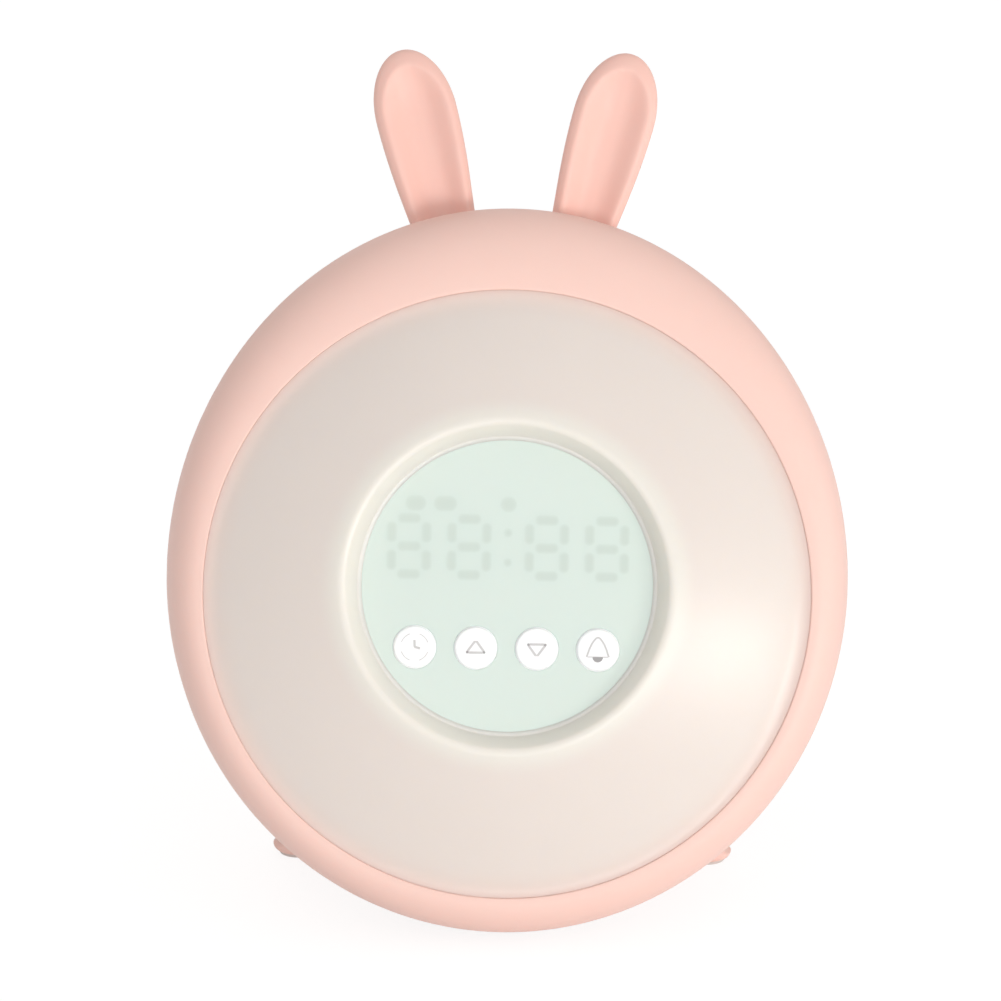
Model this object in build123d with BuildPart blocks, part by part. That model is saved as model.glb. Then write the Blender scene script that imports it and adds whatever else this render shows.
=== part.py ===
from build123d import *
import os
from math import acos, asin, atan2, cos, hypot, pi, radians, sin, sqrt, tan

# Rabbit-eared alarm clock and night light: a leaning oval body, a domed diffuser round a sunken
# display with four keys, two ears, two rear feet and the electronics inside.
# Millimetres and degrees. +Z is up and the face looks to -Y. "Height" below means the distance
# out along the face's axis from the seam between the two body shells.

# ---- Body shells ----
face_lean = 18.0            # the face leans back from upright
face_setback = 14.7         # the diffuser's axis at the seam lies this far in front of the origin
bezel_half_width = 79.7
bezel_half_height = 84.8
body_rise = 5.3             # the middle of the body oval's height above the diffuser's axis
body_sag = 1.9              # the oval's widest line below the middle of its height
bezel_depth = 14.0          # seam to rim
rear_depth = 50.0           # seam to back panel
back_fraction = 0.62        # the back panel's height as a share of the widest height
side_flare = 8.0            # angle at which the rear shell's sides swell behind the seam
shell_wall = 2.2
base_cut = 1.2              # flat taken off the round belly to stand on
loft_steps = 7

# ---- Diffuser and its rim ----
rim_radius = 70.3
rim_land = 1.2
rim_round = 0.8
rim_gap = 0.2               # diffuser inside the rim
diffuser_sink = 1.6         # the dome starts this far below the rim
dome_radius = 140.0
diffuser_wall = 2.0
flange_width = 1.6
flange_thickness = 1.7
seat_gap = 0.1              # diffuser flange behind the rim's inner face

# ---- Display well and panel ----
well_rise = 2.0             # the well's axis above the diffuser's axis
crest_land = 1.0
well_depth = 5.8
panel_radius = 33.8
well_flare = 4.1            # the well widens by this much from the panel to its crest
well_wall = 1.8
panel_gap = 0.15
panel_thickness = 3.0
panel_flange_thickness = 1.4
panel_flange_width = 2.2

# ---- Front keys ----
key_names = ["clock", "up", "down", "alarm"]
key_pitch = 14.0
key_drop = 14.3             # key row below the well's axis
key_radius = 4.8
key_gap = 0.2
key_proud = 0.6
key_flange = 0.9
key_flange_thickness = 0.8
key_free_play = 0.2         # key flange behind the panel
key_travel = 0.6
key_round = 0.4
stem_radius = 1.6
plunger_radius = 1.7
plunger_gap = 0.05
tact_size = 6.0
tact_height = 3.5
plunger_proud = 0.9
plunger_floor = 0.5         # floor left under a plunger's hole
plunger_end_gap = 0.3       # room under a plunger when its key is pressed

# ---- Display electronics ----
board_thickness = 1.6
module_margin = 0.5         # module beyond its segments
module_corner = 5.0
module_depth = 7.0
module_gap = 0.4            # module behind the panel
segment_depth = 0.3
digit_inner = 8.9           # inner digits from the middle
digit_pitch = 13.8
digit_rise = 8.8            # digits above the well's axis
digit_width = 9.6
digit_height = 14.4
bar_thickness = 1.6
bar_end_gap = 0.9           # level bars short of the upright ones
bar_tip_gap = 0.4           # upright bars short of the level ones
colon_half_gap = 3.4
colon_radius = 0.6
mark_offsets = [-21.3, -14.5, 0.0]
mark_widths = [4.1, 4.6, 3.0]
mark_height = 2.8
mark_gap = 1.3              # marks above the digits
main_board_gap = 0.4        # main board inside the light baffle
main_screw_inset = 3.5      # its screws inside its edge
main_screw_angles = [0, 180, 240, 300]

# ---- Reflector tray and night light ----
tray_floor = 2.2            # height of the tray's back face
tray_wall = 1.8
tray_floor_inset = 6.3      # the tray's floor inside the rim
tray_lip = 0.3              # the tray's rim beyond the diffuser's flange
tray_rim_wall = 1.6
tray_rim_width = 3.0
baffle_margin = 1.1         # light baffle round the display panel
baffle_wall = 1.6
light_board_gap = 1.5       # light board outside the baffle
light_board_inset = 2.5     # light board inside the tray's floor
light_count = 16
light_ring = 51.0
light_size = 5.0
light_height = 1.6
light_window = 1.9
light_window_depth = 0.3
cable_hole = 7.0
light_screw_inset = 4.0     # light board's screws inside its outer edge
light_screw_angles = [45, 135, 225, 315]
board_screw_length = 4.8
boss_length = 3.0           # bosses behind the tray's floor
lug_radius = 1.8

# ---- Fasteners ----
small_thread = 1.0          # radius of the M2 screws
case_thread = 1.3           # radius of the M2.6 case screws
thread_gap = 0.05
through_gap = 0.2
head_ratio = 1.9            # head radius over thread radius
head_height_ratio = 1.3     # head height over thread radius
socket_ratio = 0.9          # socket radius over thread radius
tip_room = 1.0              # hole beyond a screw's tip
tray_screw_angles = [40, 140, 270]
tray_boss_radius = 2.2
tray_boss_gap = 0.4
case_boss_radius = 3.8
case_boss_step = 0.6        # front bosses slimmer than the rear ones
case_boss_inset = 4.6       # case screws inside the bezel's outline
case_boss_top = 7.0
case_screw_seat = 6.0       # head seat behind the seam
case_screw_bite = 5.0
case_screw_angles = [22, 158, 205, 335]
standoff_radius = 2.4

# ---- Ears ----
ear_splay = 15.1
ear_root_offset = 16.6
ear_setback = 8.0           # ear axis behind the seam
ear_length = 41.6
ear_widest = 26.0
ear_half_root = 7.7
ear_half_width = 9.7
ear_half_thickness = 4.6
scoop_offset = 5.2          # the hollow's axis in front of the ear
scoop_root_radius = 7.0
scoop_widest = 14.0
scoop_radius = 8.1
scoop_end_gap = 6.1         # the hollow's end short of the ear's end
ear_sink = 8.0              # how far the raw ear reaches into the body before it is trimmed
cap_angles = [22, 42, 58, 71, 81]

# ---- Feet and base ----
foot_spread = 50.5
foot_trail = 4.2            # a foot's tip stands this far behind its root
foot_tip_radius = 6.0
foot_root_radius = 8.6
foot_root_offset = 40.0
foot_inset = 11.0           # foot's root in front of the back panel
foot_overrun = 12.0         # how far the raw foot reaches into the body before it is trimmed
foot_round = 1.6
pad_proud = 0.8
pad_thickness = 1.8
pad_inset = 1.6
base_pad_half_width = 11.0
base_pad_half_depth = 7.5
base_pad_drop = 1.0         # the base pad sits this far behind the lowest line of the belly

# ---- Pegs that hold the ears and feet ----
peg_radius = 3.5
peg_gap = 0.15
peg_reach = 2.2             # peg beyond the shell's wall
peg_bite = 3.0
washer_radius = 6.0
washer_thickness = 1.0
peg_screw_length = 6.0
short_screw_length = 4.0
trim_gap = 0.1              # ears and feet stand this far off the shell

# ---- Back panel: speaker, charging inlet and mode switch ----
speaker_rise = 24.0
speaker_radius = 18.0
speaker_flange = 1.2
speaker_depth = 7.0
basket_step = 3.0           # basket inside the mounting flange
basket_wall = 0.7
cone_wall = 0.5
cone_gap = 0.4
cone_start = 0.6
cone_rise = 3.4
cap_radius = 5.0
cap_bulge = 0.8
magnet_radius = 9.0
magnet_height = 5.0
magnet_chamfer = 0.5
clamp_thickness = 2.0
clamp_overlap = 1.6
clamp_screw_gap = 2.6       # clamp screws outside the speaker
clamp_edge = 1.9            # clamp outside its screws
clamp_screw_angles = [90, 210, 330]
grille_hole = 1.0
grille_rings = [(4.2, 6), (8.4, 12), (12.6, 18)]
port_drop = 24.0            # charging inlet below the diffuser's axis
port_offset = 12.0
port_width = 9.0
port_height = 3.2
port_length = 7.4
port_wall = 0.35
port_gap = 0.3
port_recess = 0.4
tongue_width = 6.2
tongue_height = 0.7
switch_offset = -13.0
switch_width = 9.0
switch_height = 4.0
switch_depth = 5.0
switch_gap = 1.0            # switch body inside the back panel
switch_travel = 4.0
knob_width = 4.4
knob_height = 3.0
knob_proud = 1.6
knob_gap = 0.3
knob_groove = 0.5
knob_neck = 1.6
neck_gap = 0.15
neck_sink = 2.0
power_board_width = 48.0
power_board_length = 22.0
board_edge_gap = 0.3        # power board off the back panel
board_screw_inset = 12.0    # its screws in from that edge
shelf_width = 5.0
shelf_height = 4.0
shelf_inset = 3.0

# ---- Battery ----
cell_radius = 9.1
cell_length = 65.0
cell_nub_radius = 3.0
cell_nub_height = 1.2
cell_gap = 0.2
cell_drop = 38.0
cradle_wall = 1.5
contact_thickness = 0.5
contact_size = 8.0
cradle_height = 12.0

# ---- Leads ----
lead_radius = 1.0
plug_width = 6.0
plug_depth = 3.6
plug_height = 5.0
plug_offsets = [-18.0, 0.0, 16.0]
arc_share = 0.45            # part of a run that the arc at its end takes up
plug_run = 12.0             # straight run above the power board's plugs
main_lead_bow = 17.0        # the display's lead bows this far out of the plugs' line
speaker_run = 11.0          # straight run below the magnet
speaker_plug_run = 15.0
battery_run = 11.0          # straight run above the cradle
battery_exit = 5.2          # battery lead behind the tray's floor
battery_bow = 15.2          # and its bend behind the tray's floor

# ---- The face's frame ----
lean = radians(face_lean)
across = Vector(1, 0, 0)
face_up = Vector(0, sin(lean), cos(lean))
face_out = Vector(0, -cos(lean), sin(lean))
back_angle = acos(back_fraction)
depth_scale = rear_depth / sin(back_angle)
belly_rise = bezel_half_height * cos(lean)
belly_run = depth_scale * sin(lean)
belly_drop = hypot(belly_rise, belly_run) - body_rise * cos(lean)
axis_height = belly_drop - base_cut + pad_proud
face = Plane(origin=(0, -face_setback, axis_height), x_dir=across, z_dir=face_out)
face_axis = Axis(face.origin, face.z_dir)
well = Plane(origin=face.origin + face_up * well_rise, x_dir=across, z_dir=face_out)

# ---- Heights along the face's axis, worked out from the sizes above ----
rim_back = bezel_depth - shell_wall
flange_front = rim_back - seat_gap
flange_back = flange_front - flange_thickness
dome_start = bezel_depth - diffuser_sink
neck_radius = rim_radius - rim_gap
crest_radius = panel_radius + well_flare
dome_base = dome_start - sqrt(dome_radius**2 - neck_radius**2)
crest_height = dome_base + sqrt(dome_radius**2 - crest_radius**2)
panel_front = crest_height - well_depth
panel_back = panel_front - panel_thickness
panel_step = panel_back + panel_flange_thickness
module_front = panel_back - module_gap
board_front = module_front - module_depth
board_back = board_front - board_thickness
tray_front = tray_floor + tray_wall
baffle_inner = panel_radius + baffle_margin
board_radius = baffle_inner - main_board_gap
tray_floor_radius = rim_radius - tray_floor_inset
tray_rim_radius = neck_radius + flange_width + tray_lip
light_board_inner = baffle_inner + baffle_wall + well_rise + light_board_gap
light_board_outer = tray_floor_radius - light_board_inset
mark_rise = digit_rise + digit_height / 2 + mark_gap + mark_height / 2
digit_offsets = [-digit_inner - digit_pitch, -digit_inner, digit_inner, digit_inner + digit_pitch]
module_width = digit_offsets[-1] - digit_offsets[0] + digit_width + 2 * module_margin
module_height = mark_rise + mark_height / 2 + module_margin
peg_length = shell_wall + peg_reach
peg_hole_reach = 3 * shell_wall
speaker_basket_radius = speaker_radius - basket_step
clamp_screw_ring = speaker_radius + clamp_screw_gap
clamp_radius = clamp_screw_ring + clamp_edge
back_inside = -(rear_depth - shell_wall)
inner_dome_start = dome_base + sqrt((dome_radius - diffuser_wall)**2 - (neck_radius - diffuser_wall)**2)
well_bottom = panel_step + seat_gap
well_top_radius = crest_radius - crest_land
key_back = panel_back - key_free_play - key_flange_thickness
plunger_top = board_front + tact_height + plunger_proud
plunger_length = plunger_proud + tact_height - plunger_floor - key_travel - plunger_end_gap
light_board_front = tray_front + board_thickness
port_level = -port_drop - port_height / 2
knob_level = port_level + switch_height / 2
board_edge = back_inside + board_edge_gap
cell_level = tray_floor - cradle_wall - cell_gap / 2 - cell_radius
belly_angle = atan2(belly_run, belly_rise)
belly_point = (
    face.origin
    + face_up * (body_rise - bezel_half_height * cos(belly_angle))
    - face_out * (depth_scale * sin(belly_angle))
)

os.makedirs("parts", exist_ok=True)


def write(builder, name):
    """Label a finished piece and write its STEP file"""
    builder.part.label = name
    export_step(builder.part, f"parts/{name}.step")


# ---- Shared outlines ----
def oval(plane, rise, half_width, half_height, sag=0.0):
    """One oval section, split at its two sides so that every section starts at the same place"""
    with BuildSketch(plane) as section:
        with BuildLine():
            EllipticalCenterArc((0, rise - sag), half_width, half_height + sag, 0, arc_size=180)
            EllipticalCenterArc((0, rise - sag), half_width, half_height - sag, 180, arc_size=180)
        make_face()
    return section.sketch


def front_sections(inset):
    """Ovals of the front shell, from the seam to the round flat of the rim"""
    sections = []
    flat_radius = rim_radius + rim_land
    for step in range(loft_steps):
        angle = pi / 2 * step / (loft_steps - 1)
        spread = cos(angle)
        half_width = flat_radius + (bezel_half_width - inset - flat_radius) * spread
        half_height = flat_radius + (bezel_half_height - inset - flat_radius) * spread
        plane = face.offset((bezel_depth - inset) * sin(angle))
        sections.append(oval(plane, body_rise * spread, half_width, half_height, body_sag * spread))
    return sections


def rear_halves(angle, inset):
    """Half width and half height of the rear shell at an angle round its curve"""
    flare = radians(side_flare)
    half_width = (bezel_half_width - inset) * cos(angle - flare) / cos(flare)
    half_height = (bezel_half_height - inset) * cos(angle)
    return half_width, half_height


def rear_sections(inset):
    """Ovals of the rear shell, from the seam to the back panel"""
    sections = []
    for step in range(loft_steps + 1):
        angle = back_angle * step / loft_steps
        half_width, half_height = rear_halves(angle, inset)
        plane = face.offset(-(rear_depth - inset) / sin(back_angle) * sin(angle))
        sections.append(oval(plane, body_rise, half_width, half_height, body_sag * cos(angle)))
    return sections


def shell_point(offset, setback, side_up):
    """Point on the rear shell's skin at an offset across and a setback behind the seam"""
    angle = asin(setback / depth_scale)
    half_width, half_height = rear_halves(angle, 0)
    sag = body_sag * cos(angle)
    rise = body_rise - sag + (side_up * half_height + sag) * sqrt(1 - (offset / half_width) ** 2)
    return face.origin + across * offset + face_up * rise - face_out * setback


def ring_points(radius, angles, rise=0.0):
    """Points on a circle round the diffuser's axis, or round an axis above it"""
    return [(radius * cos(radians(a)), rise + radius * sin(radians(a))) for a in angles]


def level_plane(origin):
    """Plane that faces down the face: local x runs across and local y along the face's axis"""
    return Plane(origin=origin, x_dir=across, z_dir=face_up * -1)


def screws(plane, points, thread, length):
    """Pan-head screws with hexagon sockets; the plane lies under the heads, facing the tips"""
    head_height = thread * head_height_ratio
    with BuildPart() as group:
        with BuildSketch(plane):
            with Locations(*points):
                Circle(thread - thread_gap)
        extrude(amount=length)
        with BuildSketch(plane):
            with Locations(*points):
                Circle(thread * head_ratio)
        extrude(amount=-head_height)
        with BuildSketch(plane.offset(-head_height)):
            with Locations(*points):
                RegularPolygon(thread * socket_ratio, 6)
        extrude(amount=head_height / 2, mode=Mode.SUBTRACT)
    return group


tray_points = ring_points(rim_radius + seat_gap + tray_boss_radius, tray_screw_angles)
main_board_points = ring_points(board_radius - main_screw_inset, main_screw_angles)
light_board_points = ring_points(light_board_outer - light_screw_inset, light_screw_angles)
clamp_points = ring_points(clamp_screw_ring, clamp_screw_angles, speaker_rise)
key_points = [((index - 1.5) * key_pitch, -key_drop) for index in range(len(key_names))]
board_screw_points = [
    (side * (power_board_width / 2 - shelf_inset), board_edge + board_screw_inset) for side in (-1, 1)
]
board_screw_plane = level_plane(face.origin + face_up * port_level)
case_points = [
    (
        (bezel_half_width - case_boss_inset) * cos(radians(a)),
        body_rise
        + (bezel_half_height - case_boss_inset) * sin(radians(a))
        - body_sag * (1 - abs(sin(radians(a)))),
    )
    for a in case_screw_angles
]


# ---- Ears and feet: each has its own frame at its root ----
def ear_frame(side):
    """Plane across an ear at the skin; its axis leans outwards and its front is local -y"""
    splay = radians(ear_splay)
    direction = face_up * cos(splay) + across * (side * sin(splay))
    level = across * cos(splay) - face_up * (side * sin(splay))
    origin = shell_point(side * ear_root_offset, ear_setback, 1)
    return Plane(origin=origin, x_dir=level, z_dir=direction)


def foot_root(side):
    """Where a foot's axis meets the skin"""
    return shell_point(side * foot_root_offset, rear_depth - foot_inset, -1)


def foot_base(side):
    """Middle of a foot's flat underside"""
    return Vector(side * foot_spread, foot_root(side).Y + foot_trail, pad_proud)


def foot_frame(side):
    """Plane across a foot at the skin; its axis points down the foot"""
    direction = (foot_base(side) - foot_root(side)).normalized()
    return Plane(origin=foot_root(side), x_dir=across, z_dir=direction)


root_frames = [ear_frame(-1), ear_frame(1), foot_frame(-1), foot_frame(1)]


# ---- front_bezel ----
with BuildPart() as front_bezel:
    loft(sections=front_sections(0))
    loft(sections=front_sections(shell_wall), mode=Mode.SUBTRACT)
    with BuildSketch(face):
        Circle(rim_radius)
    extrude(amount=bezel_depth, mode=Mode.SUBTRACT)
    rim_edges = front_bezel.edges().filter_by(GeomType.CIRCLE)
    fillet(rim_edges.sort_by(face_axis)[-1], radius=rim_round)
    # stub bosses for the tray's screws
    with BuildSketch(face.offset(flange_back)):
        with Locations(*tray_points):
            Circle(tray_boss_radius)
    extrude(amount=rim_back - flange_back + shell_wall / 2)
    with BuildSketch(face.offset(flange_back)):
        with Locations(*tray_points):
            Circle(small_thread)
    extrude(amount=rim_back - flange_back + shell_wall / 2, mode=Mode.SUBTRACT)
    # long bosses for the case screws, trimmed to the shell's outside
    with BuildSketch(face):
        with Locations(*case_points):
            Circle(case_boss_radius - case_boss_step)
    extrude(amount=case_boss_top)
    with BuildSketch(face):
        with Locations(*case_points):
            Circle(case_thread)
    extrude(amount=case_screw_bite + tip_room, mode=Mode.SUBTRACT)
    split(bisect_by=Plane.XY.offset(pad_proud), keep=Keep.TOP)
write(front_bezel, "front_bezel")


# ---- rear_housing ----
with BuildPart() as rear_bosses:
    with BuildSketch(face):
        with Locations(*case_points):
            Circle(case_boss_radius)
    extrude(amount=-rear_depth)
    loft(sections=rear_sections(0), mode=Mode.INTERSECT)

with BuildPart() as rear_housing:
    loft(sections=rear_sections(0))
    loft(sections=rear_sections(shell_wall), mode=Mode.SUBTRACT)
    add(rear_bosses.part)
    with BuildSketch(face):
        with Locations(*case_points):
            Circle(case_thread + through_gap)
    extrude(amount=-rear_depth, mode=Mode.SUBTRACT)
    with BuildSketch(face.offset(-case_screw_seat)):
        with Locations(*case_points):
            Circle(case_thread * head_ratio + through_gap)
    extrude(amount=-rear_depth, mode=Mode.SUBTRACT)
    # speaker grille
    with BuildSketch(face.offset(-rear_depth)):
        with Locations((0, speaker_rise)):
            Circle(grille_hole)
            for ring, count in grille_rings:
                with PolarLocations(ring, count):
                    Circle(grille_hole)
    extrude(amount=shell_wall, mode=Mode.SUBTRACT)
    # speaker clamp bosses
    with BuildSketch(face.offset(back_inside)):
        with Locations(*clamp_points):
            Circle(standoff_radius)
        with Locations((0, speaker_rise)):
            Circle(speaker_radius + port_gap, mode=Mode.SUBTRACT)
    extrude(amount=speaker_flange)
    with BuildSketch(face.offset(back_inside + speaker_flange)):
        with Locations(*clamp_points):
            Circle(small_thread)
    extrude(amount=-(speaker_flange + shell_wall / 2), mode=Mode.SUBTRACT)
    # charging inlet
    with BuildSketch(face.offset(-rear_depth)):
        with Locations((port_offset, -port_drop)):
            SlotOverall(port_width + 2 * port_gap, port_height + 2 * port_gap)
    extrude(amount=shell_wall, mode=Mode.SUBTRACT)
    # mode switch slot
    with BuildSketch(face.offset(-rear_depth)):
        with Locations((switch_offset, knob_level)):
            Rectangle(knob_width + switch_travel + 2 * knob_gap, knob_height + 2 * knob_gap)
    extrude(amount=shell_wall, mode=Mode.SUBTRACT)
    # shelf ribs under the power board
    with BuildSketch(face.offset(back_inside)):
        for side in (-1, 1):
            shelf_x = side * (power_board_width / 2 - shelf_inset)
            with Locations((shelf_x, port_level - board_thickness - shelf_height / 2)):
                Rectangle(shelf_width, shelf_height)
    extrude(amount=power_board_length)
    with BuildSketch(board_screw_plane):
        with Locations(*board_screw_points):
            Circle(small_thread)
    extrude(amount=board_thickness + shelf_height - shell_wall / 2, mode=Mode.SUBTRACT)
    # holes for the pegs of the ears and feet
    for frame in root_frames:
        with BuildSketch(frame.offset(-peg_hole_reach)):
            Circle(peg_radius + peg_gap)
        extrude(amount=2 * peg_hole_reach, mode=Mode.SUBTRACT)
        # seat for the peg's washer
        with BuildSketch(frame.offset(-peg_length)):
            Circle(washer_radius + through_gap)
        extrude(amount=-2 * washer_thickness, mode=Mode.SUBTRACT)
    split(bisect_by=Plane.XY.offset(pad_proud), keep=Keep.TOP)
write(rear_housing, "rear_housing")


# ---- diffuser ----
def dome_sections(inset):
    """Rounds of the dome from neck to crest, drifting from the diffuser's axis to the well's"""
    sections = []
    start_radius = neck_radius - inset
    for step in range(loft_steps):
        share = step / (loft_steps - 1)
        radius = start_radius + (crest_radius - start_radius) * share
        height = dome_base + sqrt((dome_radius - inset) ** 2 - radius**2)
        sections.append(oval(face.offset(height), well_rise * share, radius, radius))
    return sections


with BuildPart() as diffuser:
    loft(sections=dome_sections(0))
    with BuildSketch(face.offset(flange_back)):
        Circle(neck_radius)
    extrude(amount=dome_start - flange_back)
    with BuildSketch(face.offset(flange_back)):
        Circle(neck_radius + flange_width)
        with Locations(*tray_points):
            Circle(tray_boss_radius + tray_boss_gap, mode=Mode.SUBTRACT)
    extrude(amount=flange_thickness)
    loft(sections=dome_sections(diffuser_wall), mode=Mode.SUBTRACT)
    with BuildSketch(face.offset(flange_back)):
        Circle(neck_radius - diffuser_wall)
    extrude(amount=inner_dome_start - flange_back, mode=Mode.SUBTRACT)
    # the well's wall hangs down inside the dome
    tube_top = oval(well.offset(crest_height - diffuser_wall / 2), 0, well_top_radius + well_wall,
                    well_top_radius + well_wall)
    tube_bottom = oval(well.offset(well_bottom), 0, panel_radius + well_wall, panel_radius + well_wall)
    loft(sections=[tube_bottom, tube_top])
    with BuildSketch(well.offset(well_bottom)):
        Circle(panel_radius)
    extrude(amount=panel_front - well_bottom, mode=Mode.SUBTRACT)
    cone_bottom = oval(well.offset(panel_front), 0, panel_radius, panel_radius)
    cone_top = oval(well.offset(crest_height), 0, well_top_radius, well_top_radius)
    loft(sections=[cone_bottom, cone_top], mode=Mode.SUBTRACT)
write(diffuser, "diffuser")


# ---- display_panel ----
with BuildPart() as display_panel:
    with BuildSketch(well.offset(panel_back)):
        Circle(panel_radius + panel_flange_width)
    extrude(amount=panel_flange_thickness)
    with BuildSketch(well.offset(panel_back)):
        Circle(panel_radius - panel_gap)
    extrude(amount=panel_thickness)
    with BuildSketch(well.offset(panel_back)):
        with Locations(*key_points):
            Circle(key_radius + key_gap)
    extrude(amount=panel_thickness, mode=Mode.SUBTRACT)
write(display_panel, "display_panel")


# ---- keys and the plungers they push ----
for name, spot in zip(key_names, key_points):
    with BuildPart() as key:
        with BuildSketch(well.offset(key_back)):
            with Locations(spot):
                Circle(key_radius)
        extrude(amount=panel_front + key_proud - key_back)
        fillet(key.edges().filter_by(GeomType.CIRCLE).sort_by(face_axis)[-1], radius=key_round)
        with BuildSketch(well.offset(key_back)):
            with Locations(spot):
                Circle(key_radius + key_flange)
        extrude(amount=key_flange_thickness)
        with BuildSketch(well.offset(plunger_top)):
            with Locations(spot):
                Circle(stem_radius)
        extrude(amount=key_back - plunger_top)
    write(key, f"button_{name}")
    with BuildPart() as plunger:
        with BuildSketch(well.offset(plunger_top)):
            with Locations(spot):
                Circle(plunger_radius)
        extrude(amount=-plunger_length)
    write(plunger, f"plunger_{name}")


# ---- tact_switches ----
with BuildPart() as tact_switches:
    with BuildSketch(well.offset(board_front)):
        with Locations(*key_points):
            Rectangle(tact_size, tact_size)
    extrude(amount=tact_height)
    with BuildSketch(well.offset(board_front + tact_height)):
        with Locations(*key_points):
            Circle(plunger_radius + plunger_gap)
    extrude(amount=-(tact_height - plunger_floor), mode=Mode.SUBTRACT)
write(tact_switches, "tact_switches")


# ---- display_module and the windows of its segments ----
with BuildPart() as display_module:
    with BuildSketch(well.offset(board_front)) as module_outline:
        with Locations((0, module_height / 2)):
            Rectangle(module_width, module_height)
        chamfer(module_outline.vertices().group_by(Axis.Y)[-1], length=module_corner)
    extrude(amount=module_depth - segment_depth)
write(display_module, "display_module")


def digit_bars():
    """Middle and size of each of a digit's seven bars"""
    half_width = (digit_width - bar_thickness) / 2
    half_height = (digit_height - bar_thickness) / 2
    bar_length = digit_width - 2 * (bar_thickness + bar_end_gap)
    bar_height = half_height - bar_thickness - 2 * bar_tip_gap
    bars = [((0, level * half_height), (bar_length, bar_thickness)) for level in (-1, 0, 1)]
    for side in (-1, 1):
        for level in (-1, 1):
            bars.append(((side * half_width, level * half_height / 2), (bar_thickness, bar_height)))
    return bars


with BuildPart() as display_segments:
    with BuildSketch(well.offset(board_front + module_depth - segment_depth)):
        for digit_x in digit_offsets:
            for (bar_x, bar_y), (width, height) in digit_bars():
                with Locations((digit_x + bar_x, digit_rise + bar_y)):
                    SlotOverall(max(width, height), min(width, height), rotation=0 if width > height else 90)
        for level in (-1, 1):
            with Locations((0, digit_rise + level * colon_half_gap)):
                Circle(colon_radius)
        for mark_x, mark_width in zip(mark_offsets, mark_widths):
            with Locations((mark_x, mark_rise)):
                RectangleRounded(mark_width, mark_height, mark_height / 4)
    extrude(amount=segment_depth)
write(display_segments, "display_segments")


# ---- main_board ----
with BuildPart() as main_board:
    with BuildSketch(well.offset(board_back)):
        Circle(board_radius)
        with Locations(*main_board_points):
            Circle(small_thread + through_gap, mode=Mode.SUBTRACT)
    extrude(amount=board_thickness)
write(main_board, "main_board")


# ---- reflector_tray ----
rim_floor = flange_back - tray_rim_wall
with BuildPart() as reflector_tray:
    with BuildSketch(level_plane(face.origin)):
        with BuildLine():
            Polyline(
                (0, tray_floor),
                (tray_floor_radius, tray_floor),
                (tray_rim_radius - tray_rim_width + tray_wall / 2, rim_floor),
                (tray_rim_radius, rim_floor),
                (tray_rim_radius, flange_back),
                (tray_rim_radius - tray_rim_width, flange_back),
                (tray_floor_radius - tray_wall / 2, tray_front),
                (0, tray_front),
                close=True,
            )
        make_face()
    revolve(axis=face_axis)
    with BuildSketch(face.offset(rim_floor)):
        with Locations(*tray_points):
            Circle(lug_radius)
    extrude(amount=tray_rim_wall)
    with BuildSketch(face.offset(rim_floor)):
        with Locations(*tray_points):
            Circle(small_thread + through_gap)
    extrude(amount=tray_rim_wall, mode=Mode.SUBTRACT)
    # light baffle round the display, and the main board's standoffs inside it
    with BuildSketch(well.offset(tray_front)):
        Circle(baffle_inner + baffle_wall)
        Circle(baffle_inner, mode=Mode.SUBTRACT)
    extrude(amount=panel_back - tray_front)
    with BuildSketch(well.offset(tray_front)):
        with Locations(*main_board_points):
            Circle(standoff_radius)
    extrude(amount=board_back - tray_front)
    with BuildSketch(well.offset(board_back)):
        with Locations(*main_board_points):
            Circle(small_thread)
    extrude(amount=-(board_screw_length - board_thickness + tip_room), mode=Mode.SUBTRACT)
    with BuildSketch(well.offset(tray_floor)):
        Circle(cable_hole)
    extrude(amount=tray_wall, mode=Mode.SUBTRACT)
    # bosses behind the floor for the light board's screws
    with BuildSketch(face.offset(tray_floor)):
        with Locations(*light_board_points):
            Circle(standoff_radius)
    extrude(amount=-boss_length)
    with BuildSketch(face.offset(tray_front)):
        with Locations(*light_board_points):
            Circle(small_thread)
    extrude(amount=-(board_screw_length - board_thickness + tip_room), mode=Mode.SUBTRACT)
write(reflector_tray, "reflector_tray")


# ---- light_board and night_lights ----
with BuildPart() as light_board:
    with BuildSketch(face.offset(tray_front)):
        Circle(light_board_outer)
        Circle(light_board_inner, mode=Mode.SUBTRACT)
        with Locations(*light_board_points):
            Circle(small_thread + through_gap, mode=Mode.SUBTRACT)
    extrude(amount=board_thickness)
write(light_board, "light_board")

with BuildPart() as night_lights:
    with BuildSketch(face.offset(light_board_front)):
        with PolarLocations(light_ring, light_count):
            Rectangle(light_size, light_size)
    extrude(amount=light_height)
    with BuildSketch(face.offset(light_board_front + light_height)):
        with PolarLocations(light_ring, light_count):
            Circle(light_window)
    extrude(amount=-light_window_depth, mode=Mode.SUBTRACT)
write(night_lights, "night_lights")


# ---- ears ----
def ear_halves(reach):
    """Half width and half thickness of an ear at a distance out from its root"""
    if reach < ear_widest:
        share = sin(pi / 2 * max(reach, 0) / ear_widest)
        half_width = ear_half_root + (ear_half_width - ear_half_root) * share
        return half_width, ear_half_thickness
    share = sqrt(1 - ((reach - ear_widest) / (ear_length - ear_widest)) ** 2)
    return ear_half_width * share, ear_half_thickness * share


def cap_reaches(start, end):
    """Distances along a rounded end, closer together towards its tip"""
    return [start + (end - start) * sin(radians(a)) for a in cap_angles]


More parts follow.
